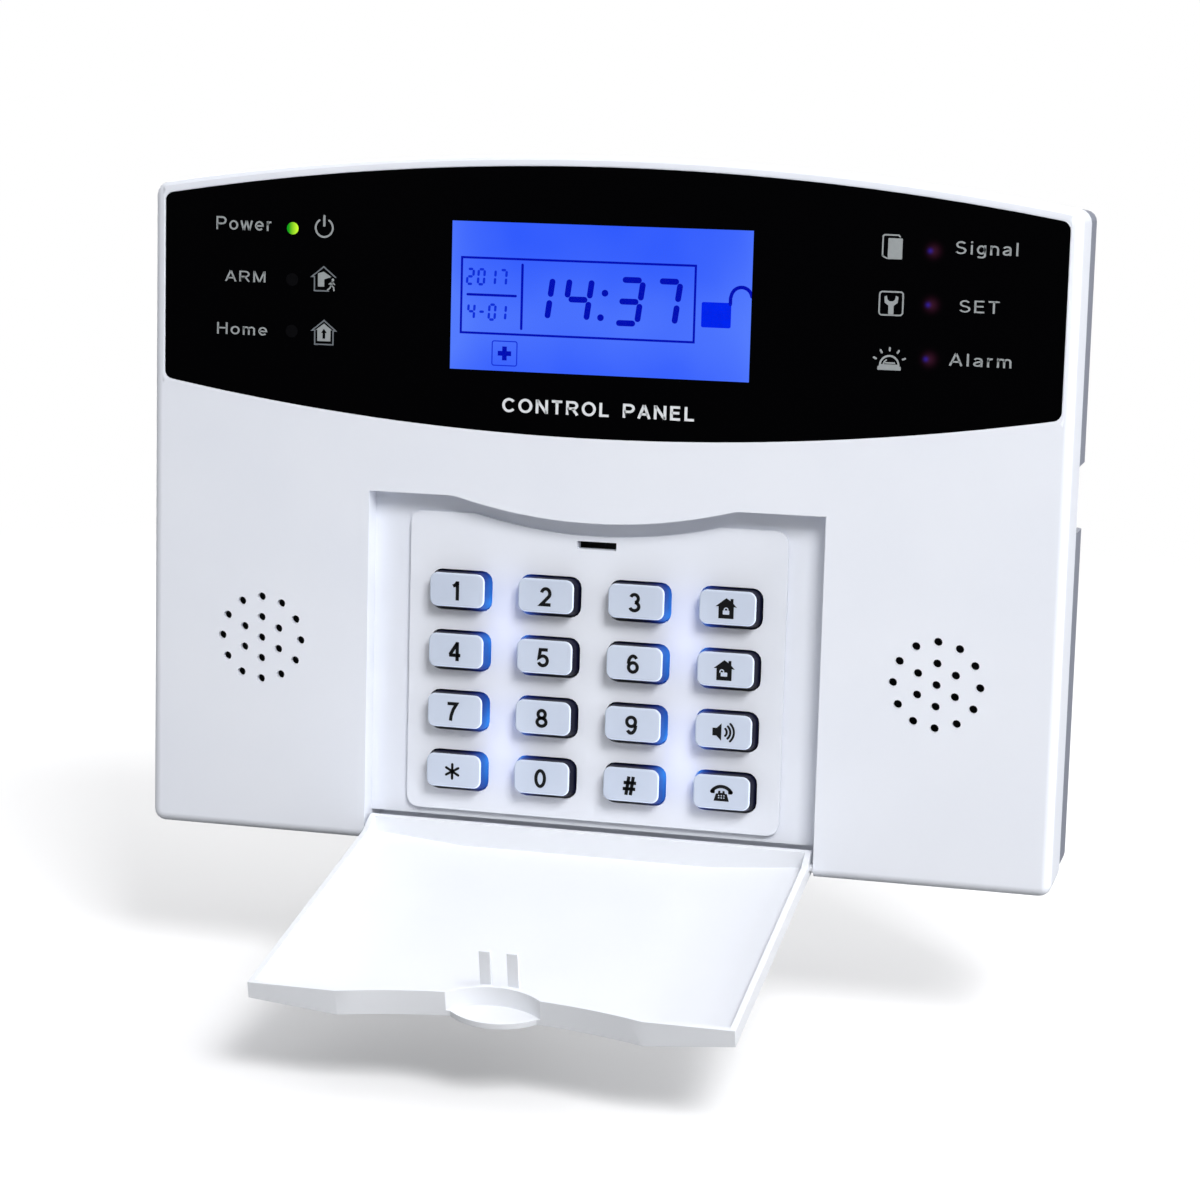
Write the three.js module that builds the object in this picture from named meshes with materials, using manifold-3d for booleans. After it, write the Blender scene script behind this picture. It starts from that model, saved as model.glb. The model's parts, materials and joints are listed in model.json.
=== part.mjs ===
// Wall-mounted alarm keypad panel with an arched casing, a display window and a flip-down keypad lid.
// Millimetres. +X is right, +Y goes back to the wall, +Z is up. The front faces -Y.
// The origin is on the wall plane at the middle of the panel. The lid is modelled open.

import * as THREE from 'three';
import { ConvexGeometry } from 'three/addons/geometries/ConvexGeometry.js';
import { mergeVertices } from 'three/addons/utils/BufferGeometryUtils.js';
import Module from 'manifold-3d';

const wasm = await Module();
wasm.setup();

// ---------------------------------------------------------------- driving dimensions

const DEPTH = 33;                 // wall plane to front face
const FRONT_Y = -DEPTH;
const SEAM_Y = -17;               // where the front shell ends
const WALL = 2.4;                 // casing wall thickness
const GAP = 0.3;                  // clearance between neighbouring pieces
const CASE = { halfWidth: 95, top: 71, topDrop: 7.8, bottom: -71, bottomRise: 0, radius: 2.4 };
const EDGE_RADIUS = 2.0;          // rounding of the casing's front edge
const REAR_INSET = 0.5;           // rear shell stands in from the front shell
const REAR_EDGE_RADIUS = 1.5;

const LENS = { halfWidth: 92.35, top: 68.83, topDrop: 7.87, bottom: 15.3, bottomRise: 8.27, radius: 1.4 };
const LENS_THICKNESS = 1.0;
const LENS_POCKET_DEPTH = LENS_THICKNESS + 0.1;

const LCD_CENTRE_Z = 42.55;
const LCD_GLASS = { width: 66, height: 34, thickness: 1.1 };
const LCD_FRONT_Y = FRONT_Y + 1.6;
const LCD_HOLE_GAP = 0.5;         // round the glass in the front wall
const LCD_BACKLIGHT = { grow: 0.2, y: [-30, -26.5] };
const LCD_FRAME = { outerGrow: 4, innerGrow: 0.5, y: [-30.3, -25.6] };

const LED_COLUMNS = [-64.8, 66.5];
const LED_ROWS = [54.9, 44.5, 34.0];
const LED_NAMES = [['power_led', 'arm_led', 'home_led'], ['signal_led', 'set_led', 'alarm_led']];
const LED = { radius: 1.5, tipY: FRONT_Y + 1.4, collarRadius: 1.9, collarY: -27, backY: -26, domeSteps: 3 };
const LED_HOLE_GAP = 0.4;

const GRILLE_X = 70.7;
const GRILLE_Z = -30;
const GRILLE_RINGS = [{ count: 1, radius: 0, turn: 0 }, { count: 6, radius: 4.32, turn: 30 },
  { count: 12, radius: 8.64, turn: 0 }];
const GRILLE_HOLE_RADIUS = 0.88;
const GRILLE_PANEL = { radius: 11.5, thickness: 1.2 };   // the wall is thinner behind a grille

const OPENING = { halfWidth: 47.5, top: 2.1, dip: 4.1, dipHalfWidth: 29.5 };
const RECESS_Y = FRONT_Y + 4.7;   // recess floor
const RECESS_FLOOR = 1.8;         // thickness of the recess floor
const RECESS_BOTTOM = -65.5;      // the floor ends here, above the hinge trough
const TROUGH_Y = -23;             // back of the hinge trough

const PLATE_Y = RECESS_Y - 1.0;   // face of the raised keypad plate
const PLATE = { halfWidth: 39.5, top: -1.8, bottom: -64, dip: 3.3, dipHalfWidth: 25.6, radius: 3 };
const PLATE_FLANGE = 0.7;
const PLATE_BOSS = { halfWidth: 36.7, top: -9.8, bottom: -61.2, backY: -26.9 };
const LATCH_SLOT = { width: 8.2, height: 1.65, z: -7.0 };

const KEY_COLUMNS = [-28.3, -9.43, 9.43, 28.3];
const KEY_ROWS = [-17.8, -30.37, -42.94, -55.5];
const KEY_NAMES = [
  ['key_1', 'key_2', 'key_3', 'key_arm'],
  ['key_4', 'key_5', 'key_6', 'key_disarm'],
  ['key_7', 'key_8', 'key_9', 'key_speaker'],
  ['key_star', 'key_0', 'key_hash', 'key_phone'],
];
const KEY = { width: 12.4, height: 7.8, taper: 0.5, radius: 1.9, frontY: -32.5, flangeY: -26.6 };
const KEY_FLANGE = { grow: 0.9, thickness: 0.7 };

const DOME = { radius: 3, topY: -24.4 };   // 1.5 mm behind a key, more than its 1.2 mm of travel
const DOME_SHEET = { halfWidth: 38.5, y: [-23.4, -22.6], z: [-62, -10] };
const KEYPAD_BOARD = { halfWidth: 45, y: [-22.3, -20.7], z: [-63, -4] };
const STAKE_PLACES = [[-42, -7], [42, -7], [-42, -60], [42, -60]];
const STAKE = { postRadius: 2.2, tipRadius: 1.0, holeRadius: 1.3, tipPast: 0.6 };

const MAIN_BOARD = { halfWidth: 79, y: [-25.0, -23.4], z: [8, 60] };
const MAIN_BOARD_BACK = MAIN_BOARD.y[1];
const BOARD_SCREW_PLACES = [[-74, 12], [74, 12], [-74, 57], [74, 57]];
const BOARD_SCREW = { radius: 1.0, tipY: -29, headRadius: 2.4, headHeight: 1.6 };
const BOARD_POST = { radius: 2.8, bore: 1.3 };

const CASE_SCREW_PLACES = [[-86, -62], [86, -62], [-86, 50], [86, 50]];
const CASE_SCREW = { radius: 1.3, tipY: -26, headRadius: 3.0, headY: [-7.7, -5.7],
  slotLength: 4, slotWidth: 0.8, slotDepth: 1.0 };
const CASE_POST = { radius: 3.6, bore: 1.6 };
const CASE_TUBE = { radius: 5, wellRadius: 3.4, wellY: -8, holeRadius: 1.7 };

const HINGE_Y = -31.5;            // lid axis, parallel to X
const HINGE_Z = -69.3;
const LID_OPEN_DEG = 102.8;       // how far the lid is modelled open
const LID = { halfWidth: 46.8, backY: -29.7, thickness: 1.2, proud: 1.8, bottom: -71 };
const LID_FOLD = { bottom: 26, top: 29.4 };
const HINGE_WALL = { backY: -28.4, gussetTop: -64.5, gussetStep: 1.6 };
const LID_PIN = { radius: 0.9, root: 1, endX: 48.9, holeDepth: 49.4 };
const TAB_RISE = 3.6;             // how far the finger tab stands past the free edge
const TAB_HALF_WIDTH = 8.7;
const THUMB_DIP = 3.1;            // how far the edge wall curves in behind the tab
const THUMB_WALL = 1;
const PRONG = { inner: 1.6, outer: 3.8, thickness: 0.8, z: -7.2, tipY: -23.2 };

const BRACKET = { halfWidth: 50, bottom: -32, top: 40, thickness: 2, radius: 4 };
const HOOK_PLACES = [[-30, 34], [30, 34], [-30, -26], [30, -26]];
const HOOK = { halfWidth: 4, rise: 5.7, neck: 2, frontY: -7, plateY: -5.2 };
const HOOK_SLOT = { halfWidth: 4.5, below: 4.3, above: 2.3 };
const WALL_HOLE = { x: 40, z: [-14, 22], radius: 2.3 };
const CABLE_HOLE = { x: [-16, 16], z: [6, 28] };
const CABLE_EXIT = { x: [-12, 12], z: [8, 26] };
const WIRING_OPENING = { halfWidth: 34, bottom: -53, top: -36 };

const NOTCH = { bottom: -1.2, top: 12.4, floorX: 89.6 };
const SOCKET_Z = (NOTCH.bottom + NOTCH.top) / 2;
const SOCKET_X = NOTCH.floorX - WALL - GAP;   // the parts behind the notch end here
const JACK = { y: -11.5, x: 73, halfSize: 4.5, depthBack: 4.2, barrelRadius: 3.0, boreRadius: 2.4,
  pinRadius: 0.8, boreX: 78, holeRadius: 3.4 };
const SWITCH = { x: 80, y: -4.6, halfHeight: 6, depthFront: 1.9, depthBack: 1.8, travel: 3, proud: 1.2,
  slotHalfHeight: 3, slotHalfDepth: 1.3, wellX: 83, sliderX: 83.5, sliderHalfDepth: 1 };

const SPEAKER = { radius: 18, flange: 1.5, coneRadius: 15.5, magnetRadius: 9, capRadius: 4, depth: 10 };
const SOUNDER = { radius: 15, portRadius: 2.5, depth: 10 };
const BATTERY = { x: -57.5, z: -46, width: 43, height: 34, radius: 3, edge: 1, y: [-17, -7] };
const CELLULAR = { x: [-58, -20], z: [22, 54], canInset: 2, boardThickness: 1.0, height: 3.5 };
const SIM = { x: [-12, 14], z: [32, 50], height: 2.3, wall: 2, slot: [0.6, 1.6] };
const RECEIVER = { x: [28, 62], z: [30, 46], thickness: 1.0, canX: [34, 48], canZ: [32, 44], canHeight: 3.1 };
const COIL = { turns: 5, radius: 2.2, length: 22, wireRadius: 0.4, x: 58, z: 22, gap: 1, stepsPerTurn: 9 };
const TERMINALS = { halfWidth: 31, z: [-51, -39], backY: -9, pitch: 5, count: 12, screwRadius: 1.7,
  screwZ: -42.5, screwDepth: 3, mouthHalfWidth: 1.6, mouthY: [-15, -11.5], mouthTop: -47 };
const TAMPER = { x: 62, z: -20, halfSize: 4, frontY: -12, wellY: -9.2, plungerRadius: 2.2,
  plungerLength: 8.5 };

const CURVE_SEGMENTS = 20;
const ARC_HANDLE = 0.5523;        // handle length of a Bezier quarter circle, per unit of radius
const CORNER_SEGMENTS = 4;
const SMALLEST_RADIUS = 0.5;      // for an outline's corners when it is offset inwards
const ROUND_SEGMENTS = 20;
const BIG = 200;                  // reaches past the whole panel

// ---------------------------------------------------------------- solids

function toSolid(geometry) {
  const bare = geometry.clone();
  bare.deleteAttribute('normal');
  bare.deleteAttribute('uv');
  const merged = mergeVertices(bare, 1e-4);
  const mesh = new wasm.Mesh({
    numProp: 3,
    vertProperties: new Float32Array(merged.attributes.position.array),
    triVerts: new Uint32Array(merged.index.array),
  });
  return new wasm.Manifold(mesh);
}

function toGeometry(solid) {
  const mesh = solid.getMesh();
  const geometry = new THREE.BufferGeometry();
  geometry.setAttribute('position', new THREE.BufferAttribute(mesh.vertProperties, 3));
  geometry.setIndex(new THREE.BufferAttribute(mesh.triVerts, 1));
  geometry.computeVertexNormals();
  return geometry;
}

function box(x, y, z) {
  const geometry = new THREE.BoxGeometry(x[1] - x[0], y[1] - y[0], z[1] - z[0]);
  geometry.translate((x[0] + x[1]) / 2, (y[0] + y[1]) / 2, (z[0] + z[1]) / 2);
  return toSolid(geometry);
}

// A cylinder along Y.
function rodY(x, z, radius, y, segments = ROUND_SEGMENTS) {
  const geometry = new THREE.CylinderGeometry(radius, radius, y[1] - y[0], segments);
  geometry.translate(x, (y[0] + y[1]) / 2, z);
  return toSolid(geometry);
}

// A cylinder along X.
function rodX(y, z, radius, x, segments = ROUND_SEGMENTS) {
  const geometry = new THREE.CylinderGeometry(radius, radius, x[1] - x[0], segments);
  geometry.rotateZ(Math.PI / 2);
  geometry.translate((x[0] + x[1]) / 2, y, z);
  return toSolid(geometry);
}

// A solid of revolution about a line along Y. The profile is [radius, y] pairs.
function turned(x, z, profile, segments = ROUND_SEGMENTS) {
  const points = profile.map(([radius, y]) => new THREE.Vector2(radius, y));
  const geometry = new THREE.LatheGeometry(points, segments);
  geometry.translate(x, 0, z);
  return toSolid(geometry);
}

// A flat outline drawn in X and Z, given thickness along Y.
function slab(shape, yFront, yBack) {
  const geometry = new THREE.ExtrudeGeometry(shape, {
    depth: yBack - yFront,
    bevelEnabled: false,
    curveSegments: CURVE_SEGMENTS,
  });
  geometry.rotateX(Math.PI / 2);
  geometry.translate(0, yBack, 0);
  return toSolid(geometry);
}

// As slab, with both edges eased by an edge of the given width and height.
function easedSlab(shape, yFront, yBack, width, height, segments) {
  const geometry = new THREE.ExtrudeGeometry(shape, {
    depth: yBack - yFront - 2 * height,
    bevelEnabled: true,
    bevelThickness: height,
    bevelSize: width,
    bevelOffset: -width,
    bevelSegments: segments,
    curveSegments: CURVE_SEGMENTS,
  });
  geometry.rotateX(Math.PI / 2);
  geometry.translate(0, yBack - height, 0);
  return toSolid(geometry);
}

function cutAll(solid, tools) {
  return tools.reduce((left, tool) => left.subtract(tool), solid);
}

function joinAll(solids) {
  return solids.reduce((left, next) => left.add(next));
}

// ---------------------------------------------------------------- outlines in X and Z

// Continues an outline round a corner, through two Bezier handles, in a few straight steps.
function turnCorner(shape, x1, z1, x2, z2, x, z) {
  const handles = [new THREE.Vector2(x1, z1), new THREE.Vector2(x2, z2)];
  const curve = new THREE.CubicBezierCurve(shape.currentPoint.clone(), ...handles, new THREE.Vector2(x, z));
  for (const point of curve.getPoints(CORNER_SEGMENTS).slice(1)) shape.lineTo(point.x, point.y);
}

// Symmetric outline whose top and bottom edges are shallow arcs. grow offsets it outwards.
function archedShape(size, grow = 0) {
  const half = size.halfWidth + grow;
  const radius = Math.max(size.radius + grow, SMALLEST_RADIUS);
  const flat = half - radius;
  const handle = flat + radius * ARC_HANDLE;
  const topAt = (x) => size.top + grow - size.topDrop * (x / half) ** 2;
  const bottomAt = (x) => size.bottom - grow + size.bottomRise * (x / half) ** 2;
  const highZ = topAt(half) - radius;
  const lowZ = bottomAt(half) + radius;
  const lift = radius * ARC_HANDLE;
  const shape = new THREE.Shape();
  shape.moveTo(-flat, bottomAt(flat));
  if (size.bottomRise === 0) shape.lineTo(flat, bottomAt(flat));
  else shape.quadraticCurveTo(0, 2 * bottomAt(0) - bottomAt(flat), flat, bottomAt(flat));
  turnCorner(shape, handle, bottomAt(handle), half, lowZ - lift, half, lowZ);
  shape.lineTo(half, highZ);
  turnCorner(shape, half, highZ + lift, handle, topAt(handle), flat, topAt(flat));
  shape.quadraticCurveTo(0, 2 * topAt(0) - topAt(flat), -flat, topAt(flat));
  turnCorner(shape, -handle, topAt(handle), -half, highZ + lift, -half, highZ);
  shape.lineTo(-half, lowZ);
  turnCorner(shape, -half, lowZ - lift, -handle, bottomAt(handle), -flat, bottomAt(flat));
  return shape;
}

// Outline with a flat bottom, and a top edge that dips in an arc at the middle.
function dippedShape(halfWidth, bottom, top, dip, dipHalfWidth, radius = 0) {
  const shape = new THREE.Shape();
  shape.moveTo(-halfWidth + radius, bottom);
  shape.lineTo(halfWidth - radius, bottom);
  if (radius > 0) shape.quadraticCurveTo(halfWidth, bottom, halfWidth, bottom + radius);
  shape.lineTo(halfWidth, top - radius);
  if (radius > 0) shape.quadraticCurveTo(halfWidth, top, halfWidth - radius, top);
  shape.lineTo(dipHalfWidth, top);
  shape.quadraticCurveTo(0, top - 2 * dip, -dipHalfWidth, top);
  shape.lineTo(-halfWidth + radius, top);
  if (radius > 0) shape.quadraticCurveTo(-halfWidth, top, -halfWidth, top - radius);
  shape.lineTo(-halfWidth, bottom + radius);
  if (radius > 0) shape.quadraticCurveTo(-halfWidth, bottom, -halfWidth + radius, bottom);
  return shape;
}

// The keypad opening. grow offsets its sides and its top.
function openingShape(bottom, grow = 0) {
  const { halfWidth, top, dip, dipHalfWidth } = OPENING;
  return dippedShape(halfWidth + grow, bottom, top + grow, dip, dipHalfWidth);
}

function roundedRectangle(x, z, width, height, radius) {
  const left = x - width / 2;
  const right = x + width / 2;
  const low = z - height / 2;
  const high = z + height / 2;
  const near = radius * (1 - ARC_HANDLE);
  const shape = new THREE.Shape();
  shape.moveTo(left + radius, low);
  shape.lineTo(right - radius, low);
  turnCorner(shape, right - near, low, right, low + near, right, low + radius);
  shape.lineTo(right, high - radius);
  turnCorner(shape, right, high - near, right - near, high, right - radius, high);
  shape.lineTo(left + radius, high);
  turnCorner(shape, left + near, high, left, high - near, left, high - radius);
  shape.lineTo(left, low + radius);
  turnCorner(shape, left, low + near, left + near, low, left + radius, low);
  return shape;
}

// ---------------------------------------------------------------- casing

function grilleHoles(centreX) {
  const holes = [];
  for (const ring of GRILLE_RINGS) {
    for (let i = 0; i < ring.count; i += 1) {
      const angle = THREE.MathUtils.degToRad(ring.turn + (360 * i) / ring.count);
      const x = centreX + ring.radius * Math.cos(angle);
      const z = GRILLE_Z + ring.radius * Math.sin(angle);
      holes.push(rodY(x, z, GRILLE_HOLE_RADIUS, [FRONT_Y - 1, FRONT_Y + WALL + 1], 12));
    }
  }
  const thinned = rodY(centreX, GRILLE_Z, GRILLE_PANEL.radius,
    [FRONT_Y + GRILLE_PANEL.thickness, FRONT_Y + WALL + 1], 32);
  return [...holes, thinned];
}

function latchSlot() {
  const x = [-LATCH_SLOT.width / 2, LATCH_SLOT.width / 2];
  const z = [LATCH_SLOT.z - LATCH_SLOT.height / 2, LATCH_SLOT.z + LATCH_SLOT.height / 2];
  return box(x, [PLATE_Y - 1, RECESS_Y + RECESS_FLOOR + 1], z);
}

// Posts that stand on the inside of the front wall, and the bores that their screws bite into.
function screwPosts(places, post, yBack) {
  const posts = places.map(([x, z]) => rodY(x, z, post.radius, [FRONT_Y + WALL - 0.5, yBack], 14));
  const bores = places.map(([x, z]) => rodY(x, z, post.bore, [FRONT_Y + WALL + 1, yBack + 1], 12));
  return { posts, bores };
}

// Two-step posts whose thin tips are heat-staked over the keypad board.
function keypadStakes() {
  const [front, back] = KEYPAD_BOARD.y;
  return STAKE_PLACES.flatMap(([x, z]) => [
    rodY(x, z, STAKE.postRadius, [RECESS_Y + 1, front - GAP], 12),
    rodY(x, z, STAKE.tipRadius, [front - 1, back + STAKE.tipPast], 10),
  ]);
}

function pinHoles() {
  const near = LID.halfWidth;
  const far = LID_PIN.holeDepth;
  return [[near, far], [-far, -near]].map((x) => rodX(HINGE_Y, HINGE_Z, LID_PIN.radius + GAP, x, 12));
}

function frontShell() {
  const outside = easedSlab(archedShape(CASE), FRONT_Y, SEAM_Y + EDGE_RADIUS,
    EDGE_RADIUS, EDGE_RADIUS, 5);
  const caseBody = outside.intersect(box([-BIG, BIG], [-BIG, SEAM_Y], [-BIG, BIG]));
  const cavity = slab(archedShape(CASE, -WALL), FRONT_Y + WALL, 0);

  const wallY = FRONT_Y + WALL - 0.5;
  const tub = slab(openingShape(CASE.bottom, WALL), wallY, RECESS_Y + RECESS_FLOOR);
  const troughBlock = box([-OPENING.halfWidth - WALL, OPENING.halfWidth + WALL],
    [wallY, TROUGH_Y + RECESS_FLOOR], [CASE.bottom, RECESS_BOTTOM + RECESS_FLOOR]);
  const casePosts = screwPosts(CASE_SCREW_PLACES, CASE_POST, SEAM_Y - GAP);
  const boardPosts = screwPosts(BOARD_SCREW_PLACES, BOARD_POST, MAIN_BOARD.y[0] - GAP);
  const added = joinAll([tub, troughBlock, ...keypadStakes(), ...casePosts.posts, ...boardPosts.posts]);
  const shell = caseBody.subtract(cavity).add(added.intersect(caseBody));

  const recess = slab(openingShape(RECESS_BOTTOM), FRONT_Y - 1, RECESS_Y);
  const trough = box([-OPENING.halfWidth, OPENING.halfWidth], [FRONT_Y - 1, TROUGH_Y],
    [CASE.bottom - 5, RECESS_BOTTOM]);
  const bossHole = box([-PLATE_BOSS.halfWidth - GAP, PLATE_BOSS.halfWidth + GAP],
    [RECESS_Y - 1, RECESS_Y + RECESS_FLOOR + 1], [PLATE_BOSS.bottom - GAP, PLATE_BOSS.top + GAP]);
  const lensPocket = slab(archedShape(LENS, GAP), FRONT_Y - 1, FRONT_Y + LENS_POCKET_DEPTH);
  const throughWall = [FRONT_Y, FRONT_Y + WALL + 1];
  const ledHoles = LED_COLUMNS.flatMap((x) => LED_ROWS.map(
    (z) => rodY(x, z, LED.radius + LED_HOLE_GAP, throughWall, 12)));

  return cutAll(shell, [recess, trough, bossHole, latchSlot(), lensPocket,
    lcdBox(LCD_HOLE_GAP, throughWall), ...ledHoles, ...pinHoles(), ...grilleHoles(-GRILLE_X),
    ...grilleHoles(GRILLE_X), ...casePosts.bores, ...boardPosts.bores]);
}

// The wall bracket's recess in the back of the rear shell, grown by a clearance.
function bracketSpace(grow, yFront) {
  return box([-BRACKET.halfWidth - grow, BRACKET.halfWidth + grow], [yFront, 1],
    [BRACKET.bottom - grow, BRACKET.top + grow]);
}

function hookSlots(yFront) {
  return HOOK_PLACES.map(([x, z]) => box([x - HOOK_SLOT.halfWidth, x + HOOK_SLOT.halfWidth], [yFront, 0],
    [z - HOOK_SLOT.below, z + HOOK_SLOT.above]));
}

// Holes for the jack and the slide switch in the floor of the side notch.
function socketHoles() {
  const throughWall = [NOTCH.floorX - 5, NOTCH.floorX + 1];
  return [
    rodX(JACK.y, SOCKET_Z, JACK.holeRadius, throughWall, 18),
    box(throughWall, [SWITCH.y - SWITCH.slotHalfDepth, SWITCH.y + SWITCH.slotHalfDepth],
      [SOCKET_Z - SWITCH.slotHalfHeight, SOCKET_Z + SWITCH.slotHalfHeight]),
  ];
}

function rearShell() {
  const seamY = SEAM_Y + GAP;
  const rounded = easedSlab(archedShape(CASE, -REAR_INSET), seamY - REAR_EDGE_RADIUS, 0,
    REAR_EDGE_RADIUS, REAR_EDGE_RADIUS, 3);
  const rearBody = rounded.intersect(box([-BIG, BIG], [seamY, BIG], [-BIG, BIG]));
  const cavity = slab(archedShape(CASE, -REAR_INSET - WALL), seamY - 1, -WALL);

  const recessY = -BRACKET.thickness - GAP;
  const recessPad = bracketSpace(WALL, recessY - WALL);
  const notchPad = box([NOTCH.floorX - WALL, BIG], [-BIG, BIG], [NOTCH.bottom - WALL, NOTCH.top + WALL]);
  const tubes = CASE_SCREW_PLACES.map(([x, z]) => rodY(x, z, CASE_TUBE.radius, [seamY, -1], 18));
  const added = joinAll([recessPad, notchPad, ...tubes]).intersect(rearBody);
  const shell = rearBody.subtract(cavity).add(added);

  const notch = box([NOTCH.floorX, BIG], [-BIG, BIG], [NOTCH.bottom, NOTCH.top]);
  const wiring = box([-WIRING_OPENING.halfWidth, WIRING_OPENING.halfWidth], [-WALL - 1, 1],
    [WIRING_OPENING.bottom, WIRING_OPENING.top]);
  const cableExit = box(CABLE_EXIT.x, [recessY - WALL - 1, 0], CABLE_EXIT.z);
  const screwHoles = CASE_SCREW_PLACES.flatMap(([x, z]) => [
    rodY(x, z, CASE_TUBE.wellRadius, [CASE_TUBE.wellY, 1], 18),
    rodY(x, z, CASE_TUBE.holeRadius, [seamY - 1, 1], 12),
  ]);
  const tamperHole = rodY(TAMPER.x, TAMPER.z, TAMPER.plungerRadius + GAP, [-WALL - 1, 1], 16);
  return cutAll(shell, [notch, ...socketHoles(), bracketSpace(GAP, recessY), wiring, cableExit,
    tamperHole, ...hookSlots(recessY - WALL - 1), ...screwHoles]);
}

function caseScrew([x, z]) {
  const [front, back] = CASE_SCREW.headY;
  const shank = rodY(x, z, CASE_SCREW.radius, [CASE_SCREW.tipY, front + 0.7], 10);
  const head = rodY(x, z, CASE_SCREW.headRadius, [front, back], 16);
  const long = CASE_SCREW.slotLength / 2;
  const thin = CASE_SCREW.slotWidth / 2;
  const depth = [back - CASE_SCREW.slotDepth, back + 1];
  return cutAll(shank.add(head), [box([x - long, x + long], depth, [z - thin, z + thin]),
    box([x - thin, x + thin], depth, [z - long, z + long])]);
}

function wallBracket() {
  const plate = slab(roundedRectangle(0, (BRACKET.bottom + BRACKET.top) / 2, 2 * BRACKET.halfWidth,
    BRACKET.top - BRACKET.bottom, BRACKET.radius), -BRACKET.thickness, 0);
  const hooks = HOOK_PLACES.flatMap(([x, z]) => {
    const wide = [x - HOOK.halfWidth, x + HOOK.halfWidth];
    return [box(wide, [HOOK.frontY, -1], [z, z + HOOK.neck]),
      box(wide, [HOOK.frontY, HOOK.plateY], [z, z + HOOK.rise])];
  });
  const through = [-BRACKET.thickness - 1, 1];
  const wallHoles = [-WALL_HOLE.x, WALL_HOLE.x].flatMap(
    (x) => WALL_HOLE.z.map((z) => rodY(x, z, WALL_HOLE.radius, through, 20)));
  const cableHole = box(CABLE_HOLE.x, through, CABLE_HOLE.z);
  return cutAll(joinAll([plate, ...hooks]), [...wallHoles, cableHole]);
}

// ---------------------------------------------------------------- display window

function windowLens() {
  return slab(archedShape(LENS), FRONT_Y, FRONT_Y + LENS_THICKNESS);
}

function lcdBox(grow, y) {
  const halfWidth = LCD_GLASS.width / 2 + grow;
  const halfHeight = LCD_GLASS.height / 2 + grow;
  return box([-halfWidth, halfWidth], y, [LCD_CENTRE_Z - halfHeight, LCD_CENTRE_Z + halfHeight]);
}

function lcdGlass() {
  return lcdBox(0, [LCD_FRONT_Y, LCD_FRONT_Y + LCD_GLASS.thickness]);
}

function lcdBacklight() {
  return lcdBox(LCD_BACKLIGHT.grow, LCD_BACKLIGHT.y);
}

function lcdFrame() {
  const [front, back] = LCD_FRAME.y;
  return lcdBox(LCD_FRAME.outerGrow, [front, back]).subtract(
    lcdBox(LCD_FRAME.innerGrow, [front - 1, back + 1]));
}

function statusLed(x, z) {
  const profile = [[0, LED.tipY]];
  for (let step = 1; step <= LED.domeSteps; step += 1) {
    const angle = (step / LED.domeSteps) * (Math.PI / 2);
    profile.push([LED.radius * Math.sin(angle), LED.tipY + LED.radius * (1 - Math.cos(angle))]);
  }
  profile.push([LED.radius, LED.collarY], [LED.collarRadius, LED.collarY],
    [LED.collarRadius, LED.backY], [0, LED.backY]);
  return turned(x, z, profile, 12);
}

// ---------------------------------------------------------------- keypad

function keyHoles() {
  const holes = [];
  for (const z of KEY_ROWS) {
    for (const x of KEY_COLUMNS) {
      const shape = roundedRectangle(x, z, KEY.width + 2 * GAP, KEY.height + 2 * GAP, KEY.radius + GAP);
      holes.push(slab(shape, PLATE_Y - 1, PLATE_BOSS.backY + 1));
    }
  }
  return holes;
}

function keypadPlate() {
  const flange = slab(dippedShape(PLATE.halfWidth, PLATE.bottom, PLATE.top, PLATE.dip,
    PLATE.dipHalfWidth, PLATE.radius), PLATE_Y, RECESS_Y - GAP);
  const boss = box([-PLATE_BOSS.halfWidth, PLATE_BOSS.halfWidth],
    [PLATE_Y + PLATE_FLANGE / 2, PLATE_BOSS.backY], [PLATE_BOSS.bottom, PLATE_BOSS.top]);
  return cutAll(flange.add(boss), [latchSlot(), ...keyHoles()]);
}

// A cap that tapers towards its face, with a flange that holds it behind the plate.
function keyCap(x, z) {
  const outline = roundedRectangle(x, z, KEY.width, KEY.height, KEY.radius);
  const taperHeight = PLATE_Y - KEY.frontY;
  const cap = easedSlab(outline, KEY.frontY, KEY.flangeY + taperHeight + 1, KEY.taper, taperHeight, 1);
  const flange = slab(roundedRectangle(x, z, KEY.width + 2 * KEY_FLANGE.grow,
    KEY.height + 2 * KEY_FLANGE.grow, KEY.radius), KEY.flangeY, KEY.flangeY + KEY_FLANGE.thickness);
  const beforeFlange = box([-BIG, BIG], [-BIG, KEY.flangeY + 0.1], [-BIG, BIG]);
  return cap.intersect(beforeFlange).add(flange);
}

function domeMat() {
  const sheet = box([-DOME_SHEET.halfWidth, DOME_SHEET.halfWidth], DOME_SHEET.y, DOME_SHEET.z);
  const domes = KEY_ROWS.flatMap((z) => KEY_COLUMNS.map(
    (x) => rodY(x, z, DOME.radius, [DOME.topY, DOME_SHEET.y[0] + 0.2], 8)));
  return joinAll([sheet, ...domes]);
}

// A circuit board with a round hole at each of these places.
function drilledBoard(board, places, holeRadius) {
  const blank = box([-board.halfWidth, board.halfWidth], board.y, board.z);
  const through = [board.y[0] - 1, board.y[1] + 1];
  return cutAll(blank, places.map(([x, z]) => rodY(x, z, holeRadius, through, 12)));
}

// ---------------------------------------------------------------- lid, drawn closed

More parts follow.
